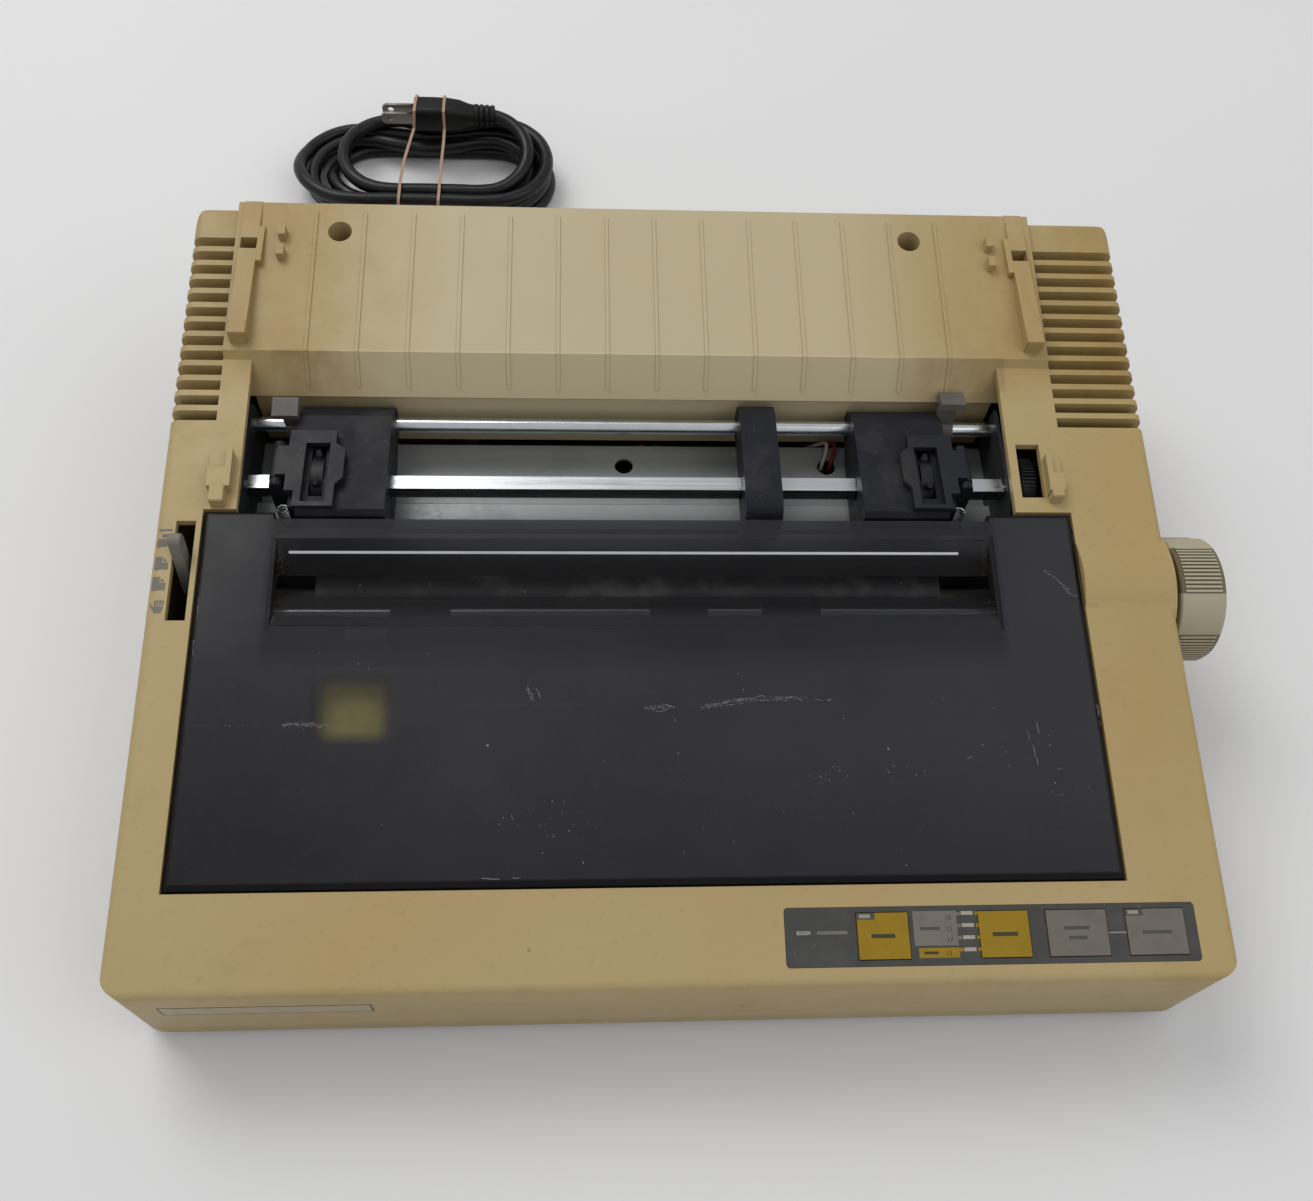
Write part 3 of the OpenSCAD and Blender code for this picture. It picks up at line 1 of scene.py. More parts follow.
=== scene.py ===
import math
import random

import bmesh
import bpy
from mathutils import Matrix, Vector


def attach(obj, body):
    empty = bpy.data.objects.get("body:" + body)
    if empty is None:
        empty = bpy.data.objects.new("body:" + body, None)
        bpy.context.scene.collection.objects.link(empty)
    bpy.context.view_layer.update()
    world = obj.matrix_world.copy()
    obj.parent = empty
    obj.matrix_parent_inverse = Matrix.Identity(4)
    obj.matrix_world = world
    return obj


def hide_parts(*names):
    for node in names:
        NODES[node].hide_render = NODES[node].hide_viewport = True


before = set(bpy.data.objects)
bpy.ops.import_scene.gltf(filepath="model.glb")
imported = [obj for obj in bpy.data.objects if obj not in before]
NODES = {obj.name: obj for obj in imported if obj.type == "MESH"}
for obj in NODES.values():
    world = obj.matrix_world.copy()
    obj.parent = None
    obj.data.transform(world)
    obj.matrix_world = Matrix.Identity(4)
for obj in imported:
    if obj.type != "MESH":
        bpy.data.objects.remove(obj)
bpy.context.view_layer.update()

# ---- The printer's own coordinates, in millimetres ----
# x from the middle of the case, y from its front face, z from the floor.
# The row frame is in metres, with its zero at CENTRE_X, CENTRE_Y.

MM = 0.001
CENTRE_X = 11.0
CENTRE_Y = 155.0
CASE_D = 310.0
HALF_W = 192.0
FRONT_H = 58.0
REAR_H = 105.0
SLOPE = math.atan((REAR_H - FRONT_H) / CASE_D)
PLATEN_Y = 151.0
PLATEN_Z = 56.0


def at(x, y, z):
    """A point of the printer in the row frame."""
    return Vector(((x - CENTRE_X) * MM, (y - CENTRE_Y) * MM, z * MM))


def deck_z(y):
    """Height of the sloping deck."""
    return FRONT_H + math.tan(SLOPE) * y


def on_deck(x, y, lift=0.0):
    """A point lift above the deck, measured square to it."""
    return at(x, y - lift * math.sin(SLOPE), deck_z(y) + lift * math.cos(SLOPE))


# ---- Camera ----

# The photograph's width and focal length in pixels, and the camera's fitted place and angles
IMAGE_W = 1313
FOCAL_PX = 1285.3
CAMERA_AT = (-36.41, -99.74, 491.93)
CAMERA_DOWN = 1.046666
CAMERA_TURN = -0.126138
CAMERA_ROLL = 0.109149
SENSOR_W = 36
CLIP_START = 0.02


def tipped(a, b, angle):
    """Two square axes, turned from the first towards the second."""
    c, s = math.cos(angle), math.sin(angle)
    return a * c + b * s, b * c - a * s


def make_camera():
    """The camera at the photograph's viewing angle: turned, tipped down, then rolled."""
    turn = Matrix.Rotation(CAMERA_TURN, 3, "Z")
    right, forward, up = turn @ Vector((1, 0, 0)), turn @ Vector((0, 1, 0)), Vector((0, 0, 1))
    forward, up = tipped(forward, up, -CAMERA_DOWN)
    right, up = tipped(right, up, CAMERA_ROLL)
    data = bpy.data.cameras.new("camera")
    data.sensor_fit = "HORIZONTAL"
    data.sensor_width = SENSOR_W
    data.lens = SENSOR_W * FOCAL_PX / IMAGE_W
    data.clip_start = CLIP_START
    camera = bpy.data.objects.new("camera", data)
    bpy.context.scene.collection.objects.link(camera)
    matrix = Matrix((right, up, -forward)).transposed().to_4x4()
    matrix.translation = at(*CAMERA_AT)
    camera.matrix_world = matrix
    bpy.context.scene.camera = camera


make_camera()

# ---- Making objects ----


def link(obj):
    """Puts an object into the scene."""
    bpy.context.scene.collection.objects.link(obj)
    return obj


def finish_mesh(name, bm, smooth_deg=35.0):
    """A mesh object from a bmesh, shaded smooth below an angle."""
    bmesh.ops.recalc_face_normals(bm, faces=bm.faces)
    for face in bm.faces:
        face.smooth = True
    for edge in bm.edges:
        if len(edge.link_faces) != 2 or edge.calc_face_angle() > math.radians(smooth_deg):
            edge.smooth = False
    mesh = bpy.data.meshes.new(name)
    bm.to_mesh(mesh)
    bm.free()
    return link(bpy.data.objects.new(name, mesh))


def place(obj, finish, body, replaces=()):
    """Gives a piece its finish and body, and hides the CAD nodes it stands for."""
    obj.data.materials.clear()
    obj.data.materials.append(finish.material)
    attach(obj, body)
    if replaces:
        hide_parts(*replaces)
    return obj


def curve_object(name, points, radius, resolution):
    """A round wire along a list of points in the row frame."""
    curve = bpy.data.curves.new(name, "CURVE")
    curve.dimensions = "3D"
    curve.bevel_depth = radius
    curve.bevel_resolution = 3
    curve.resolution_u = resolution
    curve.use_fill_caps = True
    spline = curve.splines.new("BEZIER")
    spline.bezier_points.add(len(points) - 1)
    for knot, p in zip(spline.bezier_points, points):
        knot.co = p
        knot.handle_left_type = knot.handle_right_type = "AUTO"
    return link(bpy.data.objects.new(name, curve))


def join_rings(bm, a, b):
    """Faces between two rings of equally many points."""
    n = len(a)
    for i in range(n):
        bm.faces.new((a[i], a[(i + 1) % n], b[(i + 1) % n], b[i]))


def loft(name, rings, smooth_deg=40.0):
    """A closed solid through rings of equally many points."""
    bm = bmesh.new()
    loops = [[bm.verts.new(p) for p in ring] for ring in rings]
    for a, b in zip(loops, loops[1:]):
        join_rings(bm, a, b)
    bm.faces.new(reversed(loops[0]))
    bm.faces.new(loops[-1])
    return finish_mesh(name, bm, smooth_deg)


UPRIGHT = Matrix.Rotation(math.pi / 2, 4, "X")


def plate(name, loops, thickness):
    """A flat plate in its own XY plane, from outlines and holes in millimetres."""
    curve = bpy.data.curves.new(name, "CURVE")
    curve.dimensions = "2D"
    curve.fill_mode = "BOTH"
    curve.extrude = thickness / 2 * MM
    for loop in loops:
        spline = curve.splines.new("POLY")
        spline.points.add(len(loop) - 1)
        spline.use_cyclic_u = True
        for knot, p in zip(spline.points, loop):
            knot.co = (p[0] * MM, p[1] * MM, 0, 1)
    return link(bpy.data.objects.new(name, curve))


def ribbon(name, points, width, thickness):
    """A flat strip along points in the row frame, its width along x."""
    across = Vector((width / 2 * MM, 0, 0))
    rings = []
    for i, p in enumerate(points):
        ahead = Vector(points[min(i + 1, len(points) - 1)]) - Vector(points[max(i - 1, 0)])
        up = across.cross(ahead).normalized() * (thickness / 2 * MM)
        rings.append([Vector(p) + across + up, Vector(p) - across + up,
                      Vector(p) - across - up, Vector(p) + across - up])
    return loft(name, rings, 30)


def across_x(name, outline, x0, x1, edge=0.3, smooth_deg=35.0):
    """A solid with one outline of (y, z) points from x0 to x1, its edges eased."""
    bm = bmesh.new()
    loops = [[bm.verts.new(at(x, y, z)) for y, z in outline] for x in (x0, x1)]
    join_rings(bm, *loops)
    bm.faces.new(loops[0])
    bm.faces.new(reversed(loops[1]))
    bmesh.ops.recalc_face_normals(bm, faces=bm.faces)
    if edge:
        sharp = [e for e in bm.edges if e.calc_face_angle() > math.radians(smooth_deg)]
        bmesh.ops.bevel(bm, geom=sharp, offset=edge * MM, segments=2, affect="EDGES", clamp_overlap=True)
    return finish_mesh(name, bm, smooth_deg)


def sloped(name, xs, y0, y1, low, high):
    """A block on the deck between two heights measured from it."""
    z0, z1 = deck_z(y0), deck_z(y1)
    outline = [(y0, z0 + low), (y1, z1 + low), (y1, z1 + high), (y0, z0 + high)]
    return across_x(name, outline, *xs)


def round_angles(n):
    """The angles of n points evenly round a circle."""
    return [math.tau * i / n for i in range(n)]


def arc(radius, degrees, y=0.0, z=0.0):
    """Points on a circle round (y, z), one for each angle."""
    return [(y + radius * math.cos(a), z + radius * math.sin(a)) for a in map(math.radians, degrees)]


# ---- Materials ----


def rgb(text):
    """A colour written as sRGB hex, as linear numbers."""
    values = [int(text[i : i + 2], 16) / 255 for i in (1, 3, 5)]
    return [v / 12.92 if v <= 0.04045 else ((v + 0.055) / 1.055) ** 2.4 for v in values] + [1]


# Sockets of a Mix node that mixes colours: its two colours and its result
MIX_A, MIX_B, MIX_RESULT = 6, 7, 2


class Shader:
    """A Principled material with its node tree at hand; colour and height are its last tint and bump."""

    def __init__(self, name, colour, roughness, metallic=0.0):
        self.material = bpy.data.materials.new(name)
        self.material.use_nodes = True
        self.tree = self.material.node_tree
        self.bsdf = self.tree.nodes["Principled BSDF"]
        self.set("Base Color", rgb(colour))
        self.set("Roughness", roughness)
        self.set("Metallic", metallic)
        self.place = self.node("ShaderNodeTexCoord").outputs["Object"]
        self.colour = None
        self.height = None

    def node(self, kind, **settings):
        """A new node, with inputs or properties set by name."""
        node = self.tree.nodes.new(kind)
        for key, value in settings.items():
            if key in node.inputs:
                node.inputs[key].default_value = value
            else:
                setattr(node, key, value)
        return node

    def wire(self, a, b):
        """Links an output to an input."""
        self.tree.links.new(a, b)

    def set(self, name, value):
        """Sets an input of the Principled node."""
        self.bsdf.inputs[name].default_value = value

    def noise(self, scale, detail=3.0, rough=0.55, stretch=None, distortion=0.0):
        """Noise with features about 1/scale metres apart."""
        vector = self.place
        if stretch:
            mapping = self.node("ShaderNodeMapping", Scale=stretch)
            self.wire(vector, mapping.inputs["Vector"])
            vector = mapping.outputs["Vector"]
        node = self.node("ShaderNodeTexNoise", Scale=scale, Detail=detail, Roughness=rough,
                         Distortion=distortion)
        self.wire(vector, node.inputs["Vector"])
        return node.outputs["Fac"]

    def ramp(self, value, low, high, a=0.0, b=1.0):
        """Maps value from low..high to a..b and clamps it."""
        spans = {"From Min": low, "From Max": high, "To Min": a, "To Max": b}
        node = self.node("ShaderNodeMapRange", **spans)
        self.wire(value, node.inputs["Value"])
        return node.outputs["Result"]

    def math(self, operation, *values):
        """A math node on numbers and sockets."""
        node = self.node("ShaderNodeMath", operation=operation)
        for slot, value in zip(node.inputs, values):
            if isinstance(value, (int, float)):
                slot.default_value = value
            else:
                self.wire(value, slot)
        return node.outputs[0]

    def both(self, *masks):
        """1 where every mask is 1."""
        result = masks[0]
        for mask in masks[1:]:
            result = self.math("MULTIPLY", result, mask)
        return result

    def band(self, value, low, high, soft):
        """1 where value lies between low and high, with soft ends."""
        return self.both(self.ramp(value, low - soft, low), self.ramp(value, high + soft, high))

    def tint(self, factor, colour, amount):
        """Mixes another colour over the base, by amount where factor is 1."""
        node = self.node("ShaderNodeMix", data_type="RGBA")
        self.wire(self.math("MULTIPLY", factor, amount), node.inputs["Factor"])
        if self.colour is None:
            node.inputs[MIX_A].default_value = self.bsdf.inputs["Base Color"].default_value[:]
        else:
            self.wire(self.colour, node.inputs[MIX_A])
        node.inputs[MIX_B].default_value = rgb(colour)
        self.colour = node.outputs[MIX_RESULT]
        self.wire(self.colour, self.bsdf.inputs["Base Color"])

    def relief(self, value, distance):
        """Adds a bump of that height in metres."""
        node = self.node("ShaderNodeBump", Distance=distance)
        self.wire(value, node.inputs["Height"])
        if self.height is not None:
            self.wire(self.height, node.inputs["Normal"])
        self.height = node.outputs["Normal"]
        self.wire(self.height, self.bsdf.inputs["Normal"])

    def rough(self, value, low, high):
        """Roughness between low and high as the noise goes through its usual span."""
        self.wire(self.ramp(value, 0.3, 0.7, low, high), self.bsdf.inputs["Roughness"])

    def axis(self, axis):
        """One coordinate of the row frame, in metres."""
        node = self.node("ShaderNodeSeparateXYZ")
        self.wire(self.place, node.inputs[0])
        return node.outputs[axis]

    def below_deck(self):
        """Depth below the sloping deck, in metres."""
        deck = self.math("MULTIPLY_ADD", self.axis(1), math.tan(SLOPE), deck_z(CENTRE_Y) * MM)
        return self.math("SUBTRACT", deck, self.axis(2))

    def specks(self, scale, size, keep, colour, amount):
        """Small round specks: cells about 1/scale metres apart, keep is the share of cells that hold one."""
        cell = self.node("ShaderNodeTexVoronoi", Scale=scale)
        self.wire(self.place, cell.inputs["Vector"])
        dot = self.ramp(cell.outputs["Distance"], size, size * 0.6)
        split = self.node("ShaderNodeSeparateColor")
        self.wire(cell.outputs["Color"], split.inputs[0])
        chosen = self.math("LESS_THAN", split.outputs[0], keep)
        self.tint(self.both(dot, chosen), colour, amount)


def aged_plastic(name, colour, warm, pale, dirt, grime=0.3):
    """Moulded case plastic, yellowed unevenly, with a fine grain, stains and specks."""
    s = Shader(name, colour, 0.5)
    s.set("Specular IOR Level", 0.35)
    s.tint(s.ramp(s.noise(6, 2), 0.42, 0.68), warm, 0.55)
    s.tint(s.ramp(s.noise(4.3, 2, distortion=0.4), 0.5, 0.75), pale, 0.45)
    s.tint(s.ramp(s.noise(30, 5, 0.72), 0.58, 0.82), dirt, grime)
    s.tint(s.ramp(s.noise(320, 3), 0.58, 0.9), dirt, 0.3)
    s.specks(95, 0.12, 0.025, "#4c3f28", 0.65)
    s.rough(s.noise(60, 3), 0.42, 0.58)
    s.relief(s.noise(2400, 2), 0.00004)
    return s


# Where the upper case is tinted, stained and given painted shade, in metres of the row frame. Sides are
# distances from x = -PLATFORM_MID, and each pair holds the two ends of a soft edge.
PLATFORM_MID = 0.02
REAR_EDGE = (0.066, 0.078)
CHUTE_Y = (0.072, 0.0845)
CHUTE_SIDE = (0.147, 0.1455)
RIGHT_EDGE = (0.142, 0.162)
STRIP_SIDE = (0.165, 0.172)
FOOT_SHADE = (0.052, 0.03)
INSIDE_FRONT = (-0.1235, -0.1225)
INSIDE_REAR = (0.069, 0.067)
INSIDE_HALF = (HALF_W * MM - 0.0015, HALF_W * MM - 0.0035)
INSIDE_DEPTH = (0.0018, 0.009)


def shade_and_stain_case(s):
    """The upper case's tints: pale mid rear, brown stained ends, painted shade towards the foot and painted
    shade on the walls inside the openings.
    """
    x, y = s.axis(0), s.axis(1)
    side = s.math("ABSOLUTE", s.math("ADD", x, PLATFORM_MID))
    rear = s.ramp(y, *REAR_EDGE)
    s.tint(s.both(rear, s.ramp(side, 0.134, 0.078)), "#b6ab8a", 0.85)
    s.tint(s.ramp(x, *RIGHT_EDGE), "#a0863f", 0.25)
    chute = s.both(s.band(y, *CHUTE_Y, 0.001), s.ramp(side, *CHUTE_SIDE))
    s.tint(s.both(chute, s.ramp(side, 0.155, 0.1)), "#c3b694", 0.6)
    stains = s.ramp(s.noise(24, 4, 0.65, stretch=(1, 0.35, 1)), 0.36, 0.66)
    s.tint(s.both(rear, s.ramp(side, 0.1, 0.14), stains), "#8f7038", 0.5)
    s.tint(s.both(chute, s.ramp(side, 0.1, 0.13), stains), "#7d5f2e", 0.6)
    # Painted shade: the case darkens towards its foot.
    s.tint(s.ramp(s.axis(2), *FOOT_SHADE), "#9a8a66", 0.35)
    # Painted shade: the case's walls below the deck, inside its openings, are darkened.
    middle = s.math("ABSOLUTE", s.math("ADD", x, CENTRE_X * MM))
    inside = s.both(s.ramp(middle, *INSIDE_HALF), s.ramp(y, *INSIDE_FRONT), s.ramp(y, *INSIDE_REAR))
    s.tint(s.both(s.ramp(s.below_deck(), *INSIDE_DEPTH), inside), "#1d1811", 0.92)
    strips = s.both(rear, s.ramp(side, *STRIP_SIDE), s.ramp(s.noise(55, 3), 0.35, 0.7))
    s.tint(strips, "#7f6a3a", 0.2)


# The knob's grooves lie below this radius, and in fields of this half angle round the four corners
KNOB_GROOVE_R = (0.02485, 0.0245)
KNOB_FIELD_DEG = (25.4, 24.6)


def weather_knob(s):
    """Dark grooves between the knob's ribs."""
    y = s.math("SUBTRACT", s.axis(1), at(0, PLATEN_Y, 0).y)
    z = s.math("SUBTRACT", s.axis(2), PLATEN_Z * MM)
    radius = s.math("SQRT", s.math("ADD", s.math("MULTIPLY", y, y), s.math("MULTIPLY", z, z)))
    around = s.math("PINGPONG", s.math("ARCTAN2", y, z), math.pi / 4)
    field = s.ramp(around, *map(math.radians, KNOB_FIELD_DEG))
    s.tint(s.both(s.ramp(radius, *KNOB_GROOVE_R), field), "#5d5136", 0.85)


def moulded(name, colour, roughness=0.42, dust=0.0, grain=0.00003, specular=0.3):
    """Plain moulded plastic with a fine grain and some dust."""
    s = Shader(name, colour, roughness)
    s.set("Specular IOR Level", specular)
    if dust:
        s.tint(s.ramp(s.noise(45, 4, 0.65), 0.5, 0.78), "#8d8a80", dust)
        s.specks(420, 0.2, 0.05, "#b9b5a8", dust)
    s.tint(s.ramp(s.noise(150, 3), 0.45, 0.8), "#000000", 0.15)
    s.rough(s.noise(120, 3), roughness - 0.07, roughness + 0.1)
    s.relief(s.noise(2000, 2), grain)
    return s


def ground_steel(name, colour, roughness, scratch_scale=900.0):
    """Bright steel with fine lines along x."""
    s = Shader(name, colour, roughness, metallic=1.0)
    lines = s.noise(scratch_scale, 3, stretch=(0.02, 1, 1))
    s.rough(lines, roughness - 0.05, roughness + 0.12)
    s.tint(s.ramp(s.noise(60, 4), 0.5, 0.85), "#6d6a62", 0.3)
    s.relief(lines, 0.00001)
    return s


# Painted shade darkens the pan towards the front between these, in metres of the row frame
PAN_SHADE_Y = (0.040, 0.016)


def zinc_sheet(name, colour):
    """Zinc-plated sheet with a fine speckle, some stains and painted shade towards the front."""
    s = Shader(name, colour, 0.42, metallic=0.35)
    s.tint(s.ramp(s.noise(900, 2), 0.45, 0.62), "#8e999b", 0.5)
    s.tint(s.ramp(s.noise(30, 4), 0.5, 0.8), "#3f4648", 0.45)
    # Painted shade towards the front of the pan.
    s.tint(s.ramp(s.axis(1), *PAN_SHADE_Y), "#101112", 0.95)
    s.rough(s.noise(500, 2), 0.3, 0.46)
    s.relief(s.noise(1500, 2), 0.00002)
    return s


case_top = aged_plastic("aged_case", "#aa9669", "#a68a58", "#b2a27c", "#7e693c")
shade_and_stain_case(case_top)
case_low = aged_plastic("aged_tray", "#9f8b62", "#988052", "#a5946e", "#6f5f3b")
knob_plastic = aged_plastic("aged_knob", "#a59e86", "#a19674", "#afa996", "#736c5c", 0.2)
weather_knob(knob_plastic)
rubber_black = moulded("black_rubber", "#1c1c1e", 0.6, 0.1, 0.00005)
feet_rubber = moulded("foot_rubber", "#232325", 0.7, 0.2, 0.00006)
platen_rubber = moulded("platen_rubber", "#1b1b1e", 0.55, 0.18, 0.00002)
dark_plastic = moulded("charcoal_plastic", "#1e1f24", 0.5, 0.08, specular=0.15)
flap_plastic = moulded("flap_plastic", "#1d1e23", 0.42, 0.08, specular=0.22)
gear_black = moulded("black_nylon", "#18191c", 0.45, 0.1, specular=0.25)
gear_white = moulded("white_nylon", "#c9c3b0", 0.45, 0.1)
lever_grey = moulded("grey_lever", "#5b5652", 0.5, 0.15)
lever_pale = moulded("pale_lever", "#77726a", 0.5, 0.15)
key_grey = moulded("grey_key", "#6a645b", 0.46, 0.1, specular=0.25)
key_yellow = moulded("yellow_key", "#8f720c", 0.46, 0.04, specular=0.25)
film_grey = moulded("panel_film", "#41413f", 0.45, 0.1, 0.00002, 0.25)
chrome = ground_steel("ground_shaft", "#d4d8da", 0.2)
dull_steel = ground_steel("dull_shaft", "#4a4846", 0.5)
square_steel = ground_steel("square_bar", "#c9ccce", 0.26)
tear_steel = ground_steel("tear_steel", "#d9dbdc", 0.3, 1200)
spring_steel = ground_steel("spring_wire", "#b9bcbe", 0.3, 1500)
blackened = moulded("blackened_sheet", "#26282b", 0.5, 0.12, 0.00002)
pan_sheet = zinc_sheet("pan_sheet", "#919292")
cast_dark = moulded("cast_head", "#2c2e31", 0.5, 0.15, 0.00006)
motor_can = moulded("motor_can", "#43464a", 0.4, 0.12)
core_varnish = moulded("varnished_core", "#33291c", 0.45, 0.15, 0.00006)
board_green = moulded("board_green", "#1c2b1a", 0.4, 0.15)
chip_black = moulded("chip_black", "#17171a", 0.5, 0.15)
lamp_clear = moulded("frosted_lamp", "#9c988c", 0.35)
cord_rubber = moulded("cord_rubber", "#0d0d0f", 0.36, 0.05, 0.00002, 0.32)
plug_rubber = moulded("plug_rubber", "#0c0c0e", 0.42, 0.06, 0.00003, 0.25)
blade_steel = ground_steel("blade_brass", "#8f8a84", 0.36, 1200)
tan_band = moulded("tan_band", "#a98b78", 0.6, 0.05, 0.00002)
wire_red = moulded("red_wire", "#7e1b18", 0.4, 0.05)
wire_blue = moulded("blue_wire", "#27305a", 0.4, 0.05)
wire_white = moulded("white_wire", "#b9b2a2", 0.4, 0.1)
print_pale = moulded("pale_print", "#8d8a82", 0.5, 0.1)
print_grey = moulded("grey_print", "#6f6a61", 0.5, 0.1)
print_yellow = moulded("yellow_print", "#8f720c", 0.5, 0.06)
print_dark = moulded("dark_print", "#39341f", 0.5, 0.05)
print_slate = moulded("slate_print", "#48463f", 0.5, 0.1)
print_lamp = moulded("lamp_print", "#8d8a7c", 0.4, 0.05)
print_ink = moulded("ink_print", "#6f6b63", 0.55, 0.1)
plate_silver = moulded("silver_plate", "#a39878", 0.4, 0.1)
scratch_white = moulded("scratched_plastic", "#77767a", 0.6, 0.1)
label_yellow = moulded("label_yellow", "#f2e08a", 0.6, 0.05)

# In metres of the row frame: the middle and half span of the smoke cover, of its paper slot along x
# and of the clear patch over the cartridge's label; the slot's y span; the width of the dark edge
COVER_SPAN_X = (-0.0204, 0.1649)
COVER_SPAN_Y = (-0.05185, 0.06915)
SLOT_MID, SLOT_HALF = -0.0235, 0.1345
SLOT_Y = (-0.0283, 0.0061)
PATCH_X = (-0.1265, 0.0095)
PATCH_Y = (-0.0588, 0.008)
EDGE_W = 0.0024
# How opaque the cover is, and how much less so round the slot and in the patch
COVER_ALPHA = 0.88
SLOT_CLEAR = 0.3
PATCH_CLEAR = 0.5


def smoke_plastic():
    """Translucent smoke plastic: clearer round the paper slot and over the label, dusty elsewhere, with
    painted shade towards the front, towards the left and on its sides below the deck.
    """
    s = Shader("smoke_plastic", "#2e2e33", 0.34)
    s.set("IOR", 1.49)
    s.set("Specular IOR Level", 0.2)
    x, y = s.axis(0), s.axis(1)
    across = s.math("ABSOLUTE", s.math("SUBTRACT", x, SLOT_MID))
    window = s.both(s.ramp(y, -0.046, -0.034), s.ramp(across, SLOT_HALF + 0.004, SLOT_HALF))
    patch = s.both(*[s.band(axis, middle - half, middle + half, 0.006)
                     for axis, (middle, half) in ((x, PATCH_X), (y, PATCH_Y))])
    thin = s.math("MAXIMUM", s.math("MULTIPLY", window, SLOT_CLEAR), s.math("MULTIPLY", patch, PATCH_CLEAR))
    s.wire(s.math("SUBTRACT", COVER_ALPHA, thin), s.bsdf.inputs["Alpha"])
    s.tint(s.ramp(s.noise(9, 3, 0.5), 0.35, 0.75), "#3c3c41", 0.6)
    # Painted shade: darker towards the front, towards the left, and on the sides below the deck.
    s.tint(s.ramp(y, -0.07, -0.118), "#212126", 0.7)
    s.tint(s.ramp(x, -0.08, -0.165), "#17171b", 0.75)
    s.tint(s.ramp(s.below_deck(), -0.0002, 0.0025), "#08080a", 0.9)
    s.tint(s.ramp(s.noise(700, 2), 0.55, 0.9), "#4a4a4b", 0.2)
    margin = s.both(s.ramp(y, -0.05, -0.02), s.ramp(across, SLOT_HALF, SLOT_HALF + 0.014))
    s.tint(margin, "#3a3a3c", 0.5)
    corner = s.both(s.band(across, SLOT_HALF - 0.002, SLOT_HALF, 0.001), s.band(y, -0.027, 0.004, 0.002))
    s.tint(s.both(corner, s.ramp(s.noise(1100, 4), 0.5, 0.66)), "#7b6c58", 0.4)
    rims = []
    for axis, (middle, half) in ((x, COVER_SPAN_X), (y, COVER_SPAN_Y)):
        away = s.math("ABSOLUTE", s.math("SUBTRACT", axis, middle))
        rims.append(s.ramp(away, half - EDGE_W, half - EDGE_W + 0.0006))
    s.tint(s.math("MAXIMUM", *rims), "#070709", 0.85)
    frame_x = s.band(across, SLOT_HALF + 0.0004, SLOT_HALF + 0.0014, 0.0004)
    frame_y = s.band(y, SLOT_Y[0] - 0.0016, SLOT_Y[1] + 0.0016, 0.0004)
    s.tint(s.both(frame_x, frame_y), "#070709", 0.7)
    s.specks(140, 0.08, 0.04, "#8d8b86", 0.7)
    s.rough(s.noise(50, 4), 0.3, 0.46)
    s.relief(s.noise(900, 2), 0.00001)
    return s


smoke = smoke_plastic()

# The CAD nodes that have each finish
FINISHES = (
    (case_low, "lower_case"), (case_top, "upper_case"), (feet_rubber, "rubber_feet"),
    (spring_steel, "case_screws spring_left spring_right"), (smoke, "smoke_cover"),
    (chrome, "tear_bar round_shaft bail_rod carriage_rods"), (blackened, "chassis"),
    (platen_rubber, "platen_roller"), (dull_steel, "platen_shaft"), (knob_plastic, "platen_knob"),
    (gear_black, "platen_gear tractor_gear pin_wheel_left pin_wheel_right ribbon_cartridge wiring"),
    (gear_black, "interface_port power_switch switch_rocker"),
    (gear_white, "idler_gear drive_pulley idler_pulley"),
    (square_steel, "square_shaft"), (pan_sheet, "paper_pan"),
    (flap_plastic, "pin_cover_left pin_cover_right"),
    (dark_plastic, "tractor_left tractor_right paper_support bail_frame carriage"),
    (lever_grey, "lock_lever_left lock_lever_right release_lever ribbon_knob"),
    (rubber_black, "bail_rollers timing_belt strain_relief cord_lead cord_hank power_plug cord_band"),
    (cast_dark, "print_head"), (motor_can, "carriage_motor"), (core_varnish, "transformer"),
    (board_green, "circuit_board"), (chip_black, "board_parts"), (film_grey, "control_panel"),
    (key_yellow, "button_a button_b"), (key_grey, "button_c button_d"), (lamp_clear, "indicator_lamps"),
)

for finish, names in FINISHES:
    for name in names.split():
        mesh = NODES[name].data
        mesh.materials.clear()
        mesh.materials.append(finish.material)

# ---- Power cord: the free lead, then the tied bundle of flattened turns ----

CORD_D = 7.0
HANK_X = -115.0
HANK_Y = 438.0
HANK_Z = 0.3
HANK_H = 21.0
TOP = HANK_Z + HANK_H
# Heights of the three layers of turns
LOW, MID, HIGH = (HANK_Z + CORD_D * (0.5 + i) for i in range(3))
# Radii of the bundle's turns
OUTER, MIDDLE, INNER = 29.5, 26.0, 22.5
# The free lead from the strain relief down to the floor, and its way into the bundle's first run
LEAD = [(-148, 334, 26), (-148, 339, 25.7), (-148, 347, 23.2), (-148, 354, 19), (-148, 361, 13.6),
        (-148, 368, 8.6), (-148, 375, 5.2), (-147.6, 383, 3.9), (-145.4, 391, 3.8), (-141.6, 397.6, 3.8),
        (-136.4, 402.6, 3.8), (-131, 405.6, 3.8), (-124.5, 407.7, LOW), (-116, HANK_Y - OUTER, LOW),
        (-100, HANK_Y - OUTER, LOW)]
